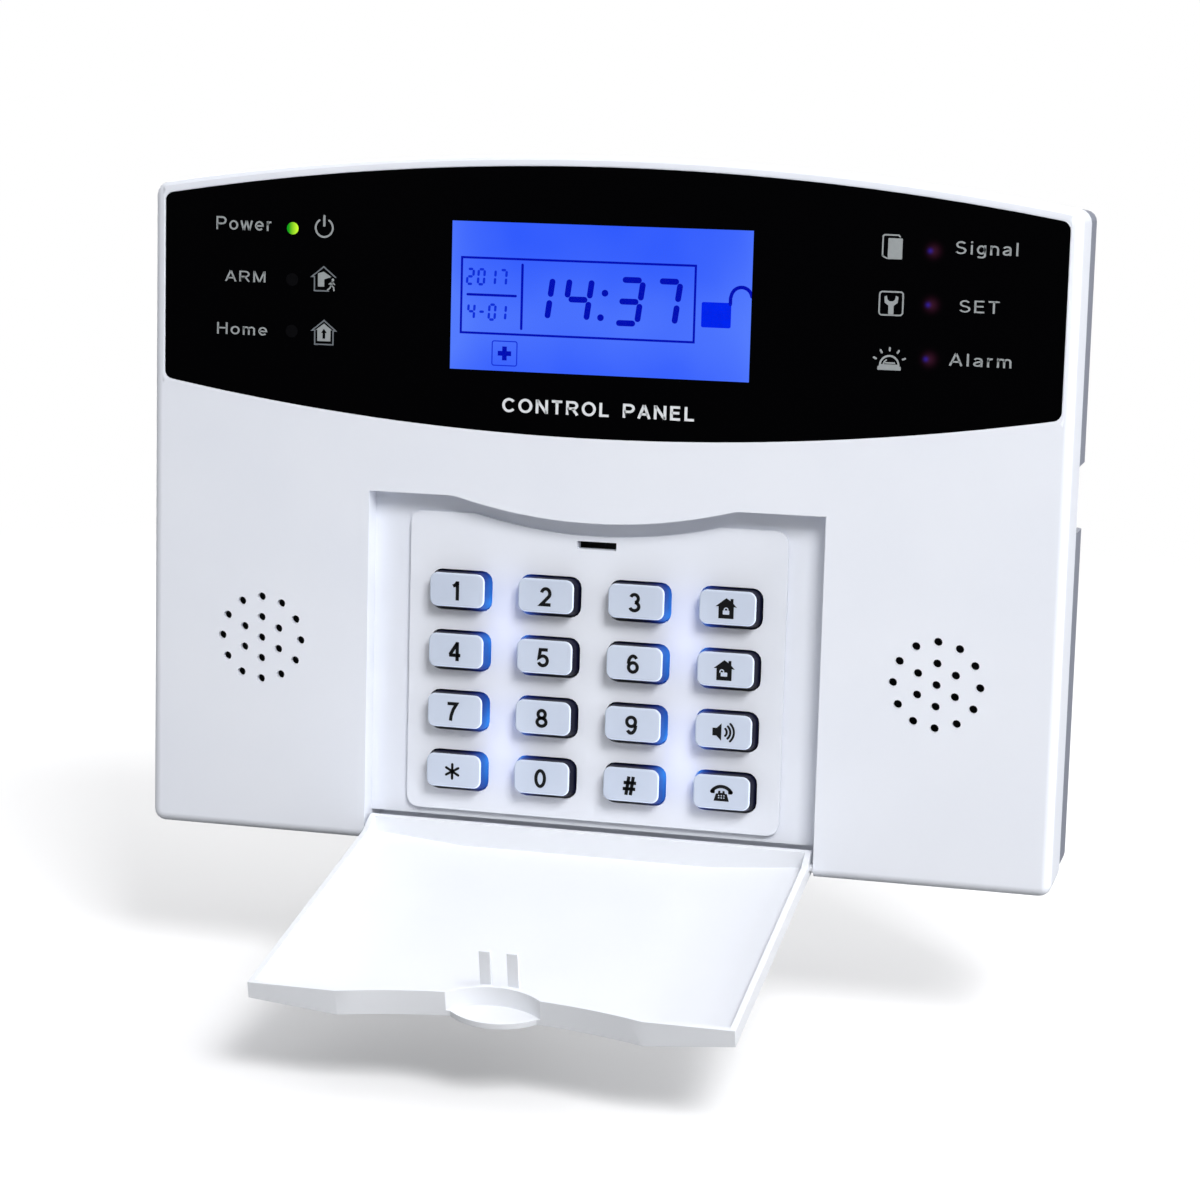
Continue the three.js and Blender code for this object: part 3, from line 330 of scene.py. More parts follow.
# A plain sans serif drawn in strokes. Capitals are 1 high, and a stroke's centre line stays 0.07 inside.
LOW = 0.07
TOP = 0.93
LETTERS = {
    "0": (0.66, [], [oval(0.33, 0.5, 0.24, 0.43, 0, 350, 35)]),
    "1": (0.5, [[(0.34, 0), (0.34, 1)], [(0.1, 0.74), (0.24, 0.81), (0.33, 0.95)]], []),
    "2": (0.64, [oval(0.32, 0.67, 0.23, 0.26, 170, -35) + [(0.08, LOW), (0.6, LOW)]], []),
    "3": (0.64, [oval(0.3, 0.715, 0.21, 0.215, 160, -80), oval(0.3, 0.285, 0.25, 0.22, 85, -160)], []),
    "4": (0.66, [[(0.46, 0), (0.46, 1)], [(0.46, 0.94), (0.07, 0.33)], [(0.02, 0.3), (0.63, 0.3)]], []),
    "5": (0.64, [[(0.57, TOP), (0.16, TOP), (0.1, 0.5)] + oval(0.31, 0.33, 0.25, 0.26, 125, -160)], []),
    "6": (0.66, [oval(0.33, 0.5, 0.25, 0.43, 42, 180)], [oval(0.33, 0.32, 0.24, 0.25, 0, 350, 35)]),
    "7": (0.62, [[(0.05, TOP), (0.56, TOP), (0.38, 0.62), (0.27, 0.3), (0.23, 0)]], []),
    "8": (0.66, [], [oval(0.33, 0.72, 0.2, 0.21, 0, 350, 35), oval(0.33, 0.29, 0.25, 0.22, 0, 350, 35)]),
    "9": (0.66, [oval(0.33, 0.5, 0.25, 0.43, -138, 0)], [oval(0.33, 0.68, 0.24, 0.25, 0, 350, 35)]),
    "#": (0.76, [[(0.2, 0), (0.34, 1)], [(0.44, 0), (0.58, 1)], [(0.06, 0.66), (0.74, 0.66)],
                 [(0.02, 0.33), (0.7, 0.33)]], []),
    "A": (0.8, [[(0.06, 0), (0.39, 0.98)], [(0.41, 0.98), (0.74, 0)], [(0.17, 0.32), (0.63, 0.32)]], []),
    "C": (0.84, [oval(0.44, 0.5, 0.36, 0.43, 38, 322, 28)], []),
    "E": (0.7, [[(0.64, TOP), (0.1, TOP), (0.1, LOW), (0.66, LOW)], [(0.1, 0.52), (0.6, 0.52)]], []),
    "H": (0.8, [[(0.1, 0), (0.1, 1)], [(0.7, 0), (0.7, 1)], [(0.1, 0.53), (0.7, 0.53)]], []),
    "L": (0.66, [[(0.1, 1), (0.1, LOW), (0.62, LOW)]], []),
    "M": (0.94, [[(0.1, 0), (0.1, 1)], [(0.12, 0.98), (0.46, 0.02)], [(0.48, 0.02), (0.82, 0.98)],
                 [(0.84, 0), (0.84, 1)]], []),
    "N": (0.82, [[(0.1, 0), (0.1, 1)], [(0.12, 0.96), (0.7, 0.04)], [(0.72, 0), (0.72, 1)]], []),
    "O": (0.9, [], [oval(0.45, 0.5, 0.37, 0.43, 0, 350, 35)]),
    "P": (0.76, [[(0.1, 0), (0.1, TOP), (0.4, TOP)] + oval(0.44, 0.69, 0.25, 0.24, 80, -80) +
                 [(0.4, 0.45), (0.1, 0.45)]], []),
    "R": (0.82, [[(0.1, 0), (0.1, TOP), (0.42, TOP)] + oval(0.46, 0.7, 0.25, 0.23, 80, -80) +
                 [(0.42, 0.47), (0.1, 0.47)], [(0.44, 0.47), (0.74, 0)]], []),
    "S": (0.74, [oval(0.37, 0.72, 0.25, 0.21, 25, 250) + oval(0.37, 0.28, 0.28, 0.21, 70, -160)], []),
    "T": (0.72, [[(0.02, TOP), (0.7, TOP)], [(0.36, 0), (0.36, TOP)]], []),
    "a": (0.62, [oval(0.29, 0.49, 0.21, 0.17, 160, 0) + [(0.5, 0)],
                 [(0.5, 0.42), (0.3, 0.38)] + oval(0.27, 0.21, 0.19, 0.14, 100, 340)], []),
    "e": (0.62, [[(0.08, 0.36), (0.55, 0.36)] + oval(0.31, 0.365, 0.24, 0.295, 12, 318, 26)], []),
    "g": (0.64, [[(0.53, 0.73)] + oval(0.3, -0.05, 0.23, 0.15, 0, -155)],
          [oval(0.3, 0.38, 0.22, 0.28, 0, 350, 30)]),
    "i": (0.26, [[(0.13, 0), (0.13, 0.73)], [(0.13, 0.87), (0.13, 1)]], []),
    "l": (0.26, [[(0.13, 0), (0.13, 1)]], []),
    "m": (0.94, [[(0.1, 0), (0.1, 0.73)], oval(0.28, 0.46, 0.18, 0.2, 180, 0) + [(0.46, 0)],
                 oval(0.64, 0.46, 0.18, 0.2, 180, 0) + [(0.82, 0)]], []),
    "n": (0.62, [[(0.1, 0), (0.1, 0.73)], oval(0.31, 0.45, 0.21, 0.21, 180, 0) + [(0.52, 0)]], []),
    "o": (0.64, [], [oval(0.32, 0.365, 0.25, 0.295, 0, 350, 30)]),
    "r": (0.4, [[(0.1, 0), (0.1, 0.73)], oval(0.3, 0.42, 0.2, 0.24, 180, 75, 8)], []),
    "w": (0.82, [[(0.04, 0.73), (0.21, 0.01)], [(0.23, 0.01), (0.4, 0.71)], [(0.42, 0.71), (0.59, 0.01)],
                 [(0.61, 0.01), (0.78, 0.73)]], []),
    " ": (0.42, [], []),
}


def letter_shapes(text, weight, gap=0.06):
    """The text's strokes in units of its capital height, at this stroke weight."""
    shapes = []
    x = 0
    for sign in text:
        width, open_lines, closed_lines = LETTERS[sign]
        for path in open_lines:
            shapes.append(line([(x + px, pz) for px, pz in path], weight, round_ends=False))
        for path in closed_lines:
            shapes.append(ring([(x + px, pz) for px, pz in path], weight))
        x += width + gap
    return shapes


SEGMENT_LINES = {
    "a": ((0, 1), (1, 1)), "b": ((1, 1), (1, 0.5)), "c": ((1, 0.5), (1, 0)), "d": ((0, 0), (1, 0)),
    "e": ((0, 0.5), (0, 0)), "f": ((0, 1), (0, 0.5)), "g": ((0, 0.5), (1, 0.5)),
}
SEGMENTS_LIT = {"0": "abcdef", "1": "bc", "2": "abged", "3": "abgcd", "4": "fgbc", "7": "abc", "-": "g"}
SEGMENT_TRIM = 0.78              # how much shorter a bar is at each end, in bar thicknesses


def segment_digit(sign, x, z, width, height, thickness, slant):
    """The lit bars of a seven-segment digit whose lower left corner is at x, z."""
    bars = []
    for name in SEGMENTS_LIT[sign]:
        (x0, z0), (x1, z1) = SEGMENT_LINES[name]
        start = Vector((x0 * width + z0 * height * slant, z0 * height))
        end = Vector((x1 * width + z1 * height * slant, z1 * height))
        trim = (end - start).normalized() * thickness * SEGMENT_TRIM
        start += trim
        end -= trim
        bars.append(line([(x + start.x, z + start.y), (x + end.x, z + end.y)], thickness))
    return bars


# ---------------------------------------- materials

WHITE_LIGHT = colour(236, 239, 247)
WHITE_DARK = colour(228, 232, 242)

casing_white = plastic("casing_white_abs", WHITE_LIGHT, WHITE_DARK, 0.42)
lid_white = plastic("lid_white_abs", colour(236, 238, 243), colour(230, 233, 239), 0.36, depth=0.03)
# The rear shell's grey is partly its own colour and partly painted shade. It is made darker so that its strip
# at the casing's side looks shaded.
rear_grey_with_painted_shade = plastic("rear_grey_abs", colour(136, 140, 153), colour(126, 130, 144), 0.5)
black_plastic = plastic("black_moulded_plastic", colour(34, 35, 38), colour(24, 25, 28), 0.45)
silicone = plastic("grey_silicone", colour(206, 210, 216), colour(196, 200, 207), 0.75, 1200, 0.12)
battery_wrap = plastic("battery_shrink_wrap", colour(48, 98, 176), colour(38, 84, 158), 0.35, 300, 0.3)
terminal_green = plastic("terminal_green_nylon", colour(50, 130, 82), colour(40, 112, 70), 0.5)
cone_paper = plastic("speaker_cone_paper", colour(38, 39, 43), colour(28, 29, 32), 0.85, 700, 0.4)
steel = metal("zinc_plated_steel", colour(198, 202, 208), 0.38)
bracket_steel = metal("galvanised_sheet", colour(176, 181, 187), 0.5, (300, 20, 20), 0.5)
screw_steel = metal("screw_steel", colour(188, 191, 196), 0.32, (60, 900, 60))
copper = metal("enamelled_copper", colour(205, 132, 78), 0.3)
green_board = circuit_board("board_green_mask", colour(28, 92, 52), colour(52, 128, 78))
black_board = circuit_board("board_black_mask", colour(12, 12, 14), colour(26, 26, 30))


def plain_print(name, shade):
    """Screen-printed ink, faintly uneven."""
    shader = Shader(name)
    patchy = shader.noise(1500, 3.0)
    return shader.finish(shader.principled({
        "Base Color": shader.mix_colour(patchy, tuple(0.86 * c for c in shade[:3]) + (1.0,), shade),
        "Roughness": shader.spread(patchy, 0.35, 0.55),
        "Specular IOR Level": 0.3,
    }))


key_ink = plain_print("key_ink_black", colour(14, 15, 18))
window_ink = plain_print("window_ink_grey", colour(156, 161, 163))
dim_ink = plain_print("window_ink_dim", colour(112, 118, 124))
title_ink = plain_print("window_ink_white", colour(226, 229, 232))

LCD_VIEW_HALF_WIDTH = 31.0
LCD_VIEW_LOW = 27.8
LCD_VIEW_HIGH = 57.6
LED_NAMES = ("power_led", "arm_led", "home_led", "signal_led", "set_led", "alarm_led")
LIT_RADIUS = 1.25                # spots over the status lights on the window: the lit one's glow, and a painted glow and glint over each unlit one
DARK_RADIUS = 1.3
PAINTED_GLOW_RADIUS = 1.15
PAINTED_GLINT_RADIUS = 0.5
PAINTED_GLINT_SHIFT = -0.75              # how far the painted glint lies to the right of its light


def led_spots(shader, x, z, names, radius, shift=0.0, soft=False):
    """1 in a round spot over each of these status lights, shifted sideways, and 0 elsewhere."""
    total = 0.0
    for name in names:
        centre = box_mm(name)[2]
        offset_x = shader.math("SUBTRACT", x, centre.x + shift)
        offset_z = shader.math("SUBTRACT", z, centre.z)
        square = shader.math("ADD", shader.math("MULTIPLY", offset_x, offset_x),
                             shader.math("MULTIPLY", offset_z, offset_z))
        share = shader.math("DIVIDE", square, radius ** 2)
        if soft:
            spot = shader.math("POWER", math.e, shader.math("MULTIPLY", share, -1.0))
        else:
            spot = shader.math("LESS_THAN", share, 1.0)
        total = shader.math("ADD", spot, total)
    return total


def window_black():
    """Black glossy sheet, clear over the display, with a spot over each status light: the lit one glows
    green, brightening to a painted highlight on its right, and each unlit one has a faint painted glow with a
    painted bluish glint.
    """
    shader = Shader("window_gloss_black")
    x, _, z = shader.place_mm()
    view_z = (LCD_VIEW_LOW + LCD_VIEW_HIGH) / 2
    in_view = shader.math("MULTIPLY", shader.within(x, 0, LCD_VIEW_HALF_WIDTH),
                          shader.within(z, view_z, (LCD_VIEW_HIGH - LCD_VIEW_LOW) / 2))
    haze = shader.noise(60, 2.0)
    gloss_inputs = {"Roughness": shader.spread(haze, 0.04, 0.09), "Specular IOR Level": 0.06}
    # Painted light: the unlit lights get a faint reddish glow and a bluish glint, though nothing lights them.
    unlit_painted_glow = led_spots(shader, x, z, LED_NAMES[3:], PAINTED_GLOW_RADIUS, soft=True)
    painted_glint = led_spots(shader, x, z, LED_NAMES[3:], PAINTED_GLINT_RADIUS, PAINTED_GLINT_SHIFT, soft=True)
    black = shader.principled({
        "Base Color": colour(2, 2, 3), **gloss_inputs,
        "Emission Color": shader.mix_colour(painted_glint, colour(62, 24, 44), colour(66, 42, 180)),
        "Emission Strength": shader.math("MULTIPLY", unlit_painted_glow, 0.7),
    })
    clear = shader.add("ShaderNodeBsdfTransparent", {"Color": (1, 1, 1, 1)}).outputs[0]
    gloss = shader.add("ShaderNodeBsdfGlossy", {"Color": (1, 1, 1, 1), "Roughness": 0.08}).outputs[0]
    glass = shader.blend(0.005, clear, gloss)
    led_x = box_mm("power_led")[2].x
    # The lit power light's green glow is its own light. Its brightening to yellow-green towards the right is
    # a painted highlight.
    painted_highlight_share = shader.math("ADD", shader.math("MULTIPLY", shader.math("SUBTRACT", x, led_x), 0.5), 0.4)
    lit = shader.principled({
        "Base Color": colour(10, 40, 10), **gloss_inputs,
        "Emission Color": shader.mix_colour(painted_highlight_share, colour(10, 150, 20), colour(200, 250, 50)),
        "Emission Strength": 1.1,
    })
    dark = shader.principled({"Base Color": colour(11, 11, 13), **gloss_inputs})
    surface = shader.blend(in_view, black, glass)
    surface = shader.blend(led_spots(shader, x, z, LED_NAMES[:1], LIT_RADIUS), surface, lit)
    surface = shader.blend(led_spots(shader, x, z, LED_NAMES[1:3], DARK_RADIUS), surface, dark)
    return shader.finish(surface)


def lcd_backlit():
    """Backlit blue display: brighter towards its edges, with faint upright streaks."""
    shader = Shader("lcd_backlit_blue")
    x, _, z = shader.place_mm()
    across = shader.math("DIVIDE", shader.math("ABSOLUTE", x), LCD_VIEW_HALF_WIDTH)
    edge = shader.math("POWER", across, 6.0)
    low_band = shader.bell(z, 38, 9)
    streaks = shader.noise(90, 1.0)
    level = shader.math("ADD", shader.math("MULTIPLY", edge, 0.5), shader.math("MULTIPLY", low_band, 0.5))
    level = shader.math("ADD", level, shader.math("MULTIPLY", streaks, 0.35))
    shade = shader.mix_colour(level, colour(42, 86, 254), colour(84, 124, 255))
    glow = shader.add("ShaderNodeEmission", {"Color": shade, "Strength": 1.0}).outputs[0]
    return shader.finish(glow)


def lcd_segment(name, shade):
    """A switched-on display segment, a darker blue than the ground."""
    shader = Shader(name)
    patchy = shader.noise(700, 1.0)
    dim = tuple(0.8 * c for c in shade[:3]) + (1.0,)
    shade = shader.mix_colour(patchy, dim, shade)
    return shader.finish(shader.add("ShaderNodeEmission", {"Color": shade, "Strength": 1.0}).outputs[0])


def led_resin(name, core, rim, strength):
    """Tinted LED resin. core is its colour seen end on, and rim its colour at the side."""
    shader = Shader(name)
    facing = shader.add("ShaderNodeLayerWeight", {"Blend": 0.45}).outputs["Facing"]
    shade = shader.mix_colour(facing, core, rim)
    return shader.finish(shader.principled({
        "Base Color": shade,
        "Roughness": 0.15,
        "Emission Color": shade,
        "Emission Strength": strength,
    }))


KEY_NAMES = sorted(name for name in NODES if name.startswith("key_"))
KEY_ROW_Z = sorted({round(box_mm(name)[2].z, 2) for name in KEY_NAMES}, reverse=True)
KEY_COLUMN_X = sorted({round(box_mm(name)[2].x, 2) for name in KEY_NAMES})
KEY_LIGHT_X = (KEY_COLUMN_X[2] + KEY_COLUMN_X[3]) / 2      # backlight LEDs sit between two columns of keys
KEY_LIGHT_Z = [(KEY_ROW_Z[0] + KEY_ROW_Z[1]) / 2, (KEY_ROW_Z[2] + KEY_ROW_Z[3]) / 2]
KEY_LIGHT_HEIGHT = 8             # how far one reaches up and down


def key_light(shader, x, z, width, least):
    """How strongly the keypad's four backlight LEDs reach a point beside them. It is at least this much."""
    across = shader.bell(shader.math("ABSOLUTE", x), KEY_LIGHT_X, width)
    upper, lower = (shader.bell(z, centre, KEY_LIGHT_HEIGHT) for centre in KEY_LIGHT_Z)
    up = shader.math("ADD", upper, lower)
    return shader.math("MULTIPLY", across, shader.spread(up, least, 1.0))


def plate_white():
    """The keypad plate: casing plastic, with the backlight's spill between the columns painted on as a faint
    blue glow.
    """
    shader = Shader("keypad_plate_abs")
    x, _, z = shader.place_mm()
    fine = shader.noise(FINE_GRAIN, 2.0, 0.6)
    slow = shader.noise(SLOW_SHADE, 2.0)
    painted_backlight_spill = key_light(shader, x, z, width=3.4, least=0.0)
    return shader.finish(shader.principled({
        "Base Color": shader.mix_colour(slow, WHITE_DARK, WHITE_LIGHT),
        "Roughness": shader.spread(fine, 0.36, 0.46),
        "Normal": shader.bump(fine, 0.06, 0.1 * MM),
        "Emission Color": colour(165, 175, 255),
        "Emission Strength": shader.math("MULTIPLY", painted_backlight_spill, 0.2),
    }))


def key_wall():
    """Clear smoked plastic at a key's sides, with a painted blue glow on the side nearest its backlight."""
    shader = Shader("key_wall_navy")
    x, _, z = shader.place_mm()
    mottled = shader.spread(shader.noise(260, 2.0), 0.7, 1.3)
    # Painted glow of the backlight through the walls, strongest near its LEDs.
    glow = shader.math("MULTIPLY", key_light(shader, x, z, width=4.0, least=0.4), mottled)
    return shader.finish(shader.principled({
        "Base Color": colour(12, 13, 38),
        "Roughness": 0.3,
        "Specular IOR Level": 0.04,
        "Emission Color": shader.mix_colour(glow, colour(8, 36, 190), colour(70, 175, 255)),
        "Emission Strength": shader.math("MULTIPLY", glow, 2.3),
    }))


def key_face():
    """A key's printed face: light grey-blue, with a faint painted backlight glow and a painted highlight
    along its lower right edge.
    """
    shader = Shader("key_face_grey")
    x, _, z = shader.place_mm()
    fine = shader.noise(1800, 2.0)
    facing = shader.add("ShaderNodeSeparateXYZ", {0: shader.add("ShaderNodeNewGeometry").outputs["Normal"]})
    # Painted highlight: the face's rounding glows where it faces right and down.
    painted_highlight_facing = shader.math("SUBTRACT", facing.outputs[0], facing.outputs[2])
    rim = shader.math("MINIMUM", shader.math("MAXIMUM", shader.math("MULTIPLY", painted_highlight_facing, 0.55), 0.0), 0.5)
    # Painted backlight glow, stronger near the keypad's LEDs.
    near = shader.math("MULTIPLY", key_light(shader, x, z, width=5.0, least=0.25), 0.12)
    return shader.finish(shader.principled({
        "Base Color": shader.mix_colour(shader.noise(45, 1.0), colour(193, 203, 222), colour(207, 216, 232)),
        "Roughness": shader.spread(fine, 0.26, 0.36),
        "Normal": shader.bump(fine, 0.04, 0.1 * MM),
        "Emission Color": colour(215, 228, 255),
        "Emission Strength": shader.math("ADD", near, rim),
    }))


# ---------------------------------------- carried-over CAD nodes

JOIN_REACH = 0.002               # corners of neighbouring triangles this close are one corner
FLAT_WITHIN = 0.6                # triangles within this many degrees make one flat face
SHARP_FROM = 32                  # edges sharper than this many degrees are eased


def refine(node, material, bevel):
    """Gives a CAD node its material, and rounds its sharp edges without touching its own mesh."""
    piece = NODES[node]
    mesh = piece.data
    mesh.materials.clear()
    mesh.materials.append(material)
    if "custom_normal" in mesh.attributes:
        mesh.attributes.remove(mesh.attributes["custom_normal"])
    mesh.polygons.foreach_set("use_smooth", [True] * len(mesh.polygons))
    weld = piece.modifiers.new("join_corners", "WELD")
    weld.merge_threshold = JOIN_REACH * MM
    flatten = piece.modifiers.new("whole_faces", "DECIMATE")
    flatten.decimate_type = "DISSOLVE"
    flatten.angle_limit = math.radians(FLAT_WITHIN)
    ease = piece.modifiers.new("eased_edges", "BEVEL")
    ease.width = bevel * MM
    ease.segments = 3
    ease.limit_method = "ANGLE"
    ease.angle_limit = math.radians(SHARP_FROM)
    ease.use_clamp_overlap = True
    ease.harden_normals = False
    even = piece.modifiers.new("even_shading", "WEIGHTED_NORMAL")
    even.keep_sharp = True
    even.weight = 90


def dress_cad_nodes():
    shells = {"front_shell": casing_white, "rear_shell": rear_grey_with_painted_shade, "keypad_plate": plate_white(),
              "flip_lid": lid_white}
    for node, material in shells.items():
        refine(node, material, 0.22)
    # The unlit lights' resin has a faint painted glow.
    unlit_painted_glow = led_resin("led_resin_unlit", colour(46, 20, 40), colour(70, 24, 34), 0.05)
    lit = led_resin("led_resin_lit", colour(170, 255, 60), colour(20, 190, 30), 2.2)
    others = {
        "wall_bracket": bracket_steel, "lcd_frame": steel, "cellular_module": steel, "sim_holder": steel,
        "switch_body": steel, "antenna_coil": copper, "lcd_glass": lcd_backlit(), "lcd_backlight": silicone,
        "dome_mat": silicone, "keypad_board": black_board, "main_board": green_board,
        "radio_receiver": green_board, "loudspeaker": cone_paper, "sounder": black_plastic,
        "battery_pack": battery_wrap, "terminal_block": terminal_green, "dc_jack": black_plastic,
        "switch_slider": black_plastic, "tamper_switch": black_plastic, "tamper_plunger": casing_white,
    }
    for name in LED_NAMES:
        others[name] = lit if name == "power_led" else unlit_painted_glow
    for i in range(1, 5):
        others[f"case_screw_{i}"] = screw_steel
        others[f"board_screw_{i}"] = screw_steel
    for node, material in others.items():
        refine(node, material, 0.12)


# ---------------------------------------- keys

KEY_FLANGE_GROW = 0.9
KEY_FLANGE_THICKNESS = 0.7
KEY_RADIUS = 1.9
KEY_LEAN = {"left": 0.2, "right": 0.55, "top": 0.05, "bottom": 0.8}     # how far each wall leans in
KEY_EDGE = 0.34                  # rounding between the walls and the face


def key_rings(front_y, plate_y, back_y):
    """(inset, lean, y) of each ring of a key, from its back to its face. lean is a share of KEY_LEAN."""
    rings = [(-KEY_FLANGE_GROW, 0, back_y), (-KEY_FLANGE_GROW, 0, back_y - KEY_FLANGE_THICKNESS),
             (0, 0, back_y - KEY_FLANGE_THICKNESS), (0, 0, plate_y), (0, 1, front_y + KEY_EDGE)]
    for step in range(1, 6):
        angle = math.radians(90) * step / 5
        rings.append((KEY_EDGE * (1 - math.cos(angle)), 1, front_y + KEY_EDGE * (1 - math.sin(angle))))
    return rings


def key_outline(centre, width, height, inset, lean):
    """One ring of a key as (x, z) points."""
    left, right, top, bottom = (inset + lean * KEY_LEAN[side] for side in ("left", "right", "top", "bottom"))
    middle_x = centre.x + (left - right) / 2
    middle_z = centre.z + (bottom - top) / 2
    radius = max(0.6, KEY_RADIUS - inset - 0.3 * lean)
    return rounded_box(middle_x, middle_z, width - left - right, height - top - bottom, radius, 8)


def loft(name, outlines, capped=True):
    """A closed mesh through outlines of equal length, each a list of (x, y, z) points in millimetres.

    The first and last outlines are filled, or joined to each other if capped is False."""
    body = bmesh.new()
    loops = [[body.verts.new(Vector(point) * MM) for point in outline] for outline in outlines]
    for lower, upper in zip(loops, loops[1:] if capped else loops[1:] + loops[:1]):
        for i in range(len(lower)):
            j = (i + 1) % len(lower)
            body.faces.new((lower[i], lower[j], upper[j], upper[i]))
    if capped:
        body.faces.new(loops[0])
        body.faces.new(loops[-1])
    bmesh.ops.recalc_face_normals(body, faces=body.faces)
    mesh = bpy.data.meshes.new(name)
    body.to_mesh(mesh)
    body.free()
    return mesh


def make_key(node, wall, face):
    low, high, centre = box_mm(node)
    width = high.x - low.x - 2 * KEY_FLANGE_GROW
    height = high.z - low.z - 2 * KEY_FLANGE_GROW
    plate_y = box_mm("keypad_plate")[0].y
    rings = key_rings(low.y, plate_y, high.y)
    outlines = [[(x, y, z) for x, z in key_outline(centre, width, height, inset, lean)]
                for inset, lean, y in rings]
    mesh = loft(node + "_cap_mesh", outlines)
    piece = link(node + "_cap", mesh, None, BODY_OF[node])
    mesh.materials.append(wall)
    mesh.materials.append(face)
    face_y = (low.y + 0.95 * KEY_EDGE) * MM
    for polygon in mesh.polygons:
        polygon.use_smooth = True
        polygon.material_index = 1 if polygon.center.y < face_y else 0
    even = piece.modifiers.new("even_shading", "WEIGHTED_NORMAL")
    even.weight = 90
    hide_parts(node)


def padlock(x, z, size, opened):
    """A padlock as one filled body and a shackle line."""
    body = rounded_box(x, z - 0.2 * size, size, 0.62 * size, 0.08 * size, 3)
    swing = 0.35 * size if opened else 0
    shackle_start = (x - 0.28 * size - swing, z + 0.1 * size)
    path = [shackle_start] + arc(x - swing, z + 0.22 * size, 0.28 * size, 180, 0, 10)
    path.append((x + 0.28 * size - swing, z + 0.1 * size))
    return [[body], line(path, 0.16 * size)]


def filled_house():
    """A solid house with a chimney on its right."""
    return [(-1.35, -1.75), (1.35, -1.75), (1.35, 0.35), (1.9, 0.25), (1.25, 0.95), (1.25, 1.75),
            (0.75, 1.75), (0.75, 1.35), (0, 1.85), (-1.9, 0.35), (-1.35, 0.35)]


def speaker_shapes():
    box_part = [(-2.2, -0.75), (-1.4, -0.75), (-0.45, -1.7), (-0.45, 1.7), (-1.4, 0.75), (-2.2, 0.75)]
    waves = [line(arc(-0.35, 0, radius, -46, 46, 14), 0.42) for radius in (0.95, 1.65, 2.35)]
    return [[box_part]] + waves


def telephone_shapes():
    handset = line(arc(0, -1.1, 2.65, 148, 32, 18), 0.75)
    ears = [[rounded_box(x, 0.35, 0.95, 0.9, 0.2, 3)] for x in (-2.0, 2.0)]
    base = [(-1.75, -1.8), (1.75, -1.8), (1.25, -0.1), (0.8, -0.1), (0.7, 0.55), (0.25, 0.55), (0.25, 0.1),
            (-0.25, 0.1), (-0.25, 0.55), (-0.7, 0.55), (-0.8, -0.1), (-1.25, -0.1)]
    dots = [disc(x, z, 0.17, 10) for x in (-0.6, 0, 0.6) for z in (-0.55, -1.05)]
    return [handset] + ears + [[base] + dots]


KEY_GLYPH_HEIGHT = 3.95
KEY_GLYPH_WEIGHT = 0.18
KEY_GLYPH_SHIFT = (-0.4, 0.25)   # marks sit a little left of the key's centre and above it
PAPER_LIFT = 0.05
HOUSE_SCALE = 1.15


def mark_key(node, key_paper):
    """Prints a key's digit or picture on its face."""
    low, _, centre = box_mm(node)
    kind = node.removeprefix("key_")
    body = BODY_OF[node]
    at = (centre.x + KEY_GLYPH_SHIFT[0], centre.z + KEY_GLYPH_SHIFT[1])
    y = low.y
    name = node + "_mark"
    if kind in ("arm", "disarm"):
        printed(name, [[filled_house()]], y, key_ink, body, at, HOUSE_SCALE)
        lock = padlock(0, -0.45, 1.15, kind == "disarm")
        printed(name + "_lock", lock, y - PAPER_LIFT, key_paper, body, at, HOUSE_SCALE)
    elif kind == "speaker":
        printed(name, moved(speaker_shapes(), 0.3, 0), y, key_ink, body, at, 1.05)
    elif kind == "phone":
        printed(name, moved(telephone_shapes(), 0.3, 0), y, key_ink, body, at, 0.9)
    elif kind == "star":
        spokes = [line([(0, 0), arc(0, 0, 1.5, angle, angle, 1)[0]], 0.52) for angle in range(30, 390, 60)]
        printed(name, spokes, y, key_ink, body, at)
    else:
        shapes = letter_shapes("#" if kind == "hash" else kind, KEY_GLYPH_WEIGHT)
        printed(name, fitted(shapes, at, None, KEY_GLYPH_HEIGHT), y, key_ink, body)


def make_keys():
    wall = key_wall()
    face = key_face()
    for node in KEY_NAMES:
        make_key(node, wall, face)
        mark_key(node, face)


# ---------------------------------------- display window

LENS_RECESS = 0.2                # the sheet lies a little below the casing's face
WINDOW_Y = box_mm("window_lens")[0].y + LENS_RECESS
LCD_PRINT_LIFT = 0.1
LCD_PRINT_Y = box_mm("lcd_glass")[0].y - LCD_PRINT_LIFT
LENS_TOP_DROP = 7.87             # how far the window's arched edges fall and rise at its sides
LENS_BOTTOM_RISE = 8.27
LENS_RADIUS = 1.4
LENS_STEPS = 48                  # straight pieces along each arched edge
LENS_GROW = 0.2                  # closes most of the clearance round the sheet
LENS_EDGE = 0.15                 # rounding of the sheet's front edges


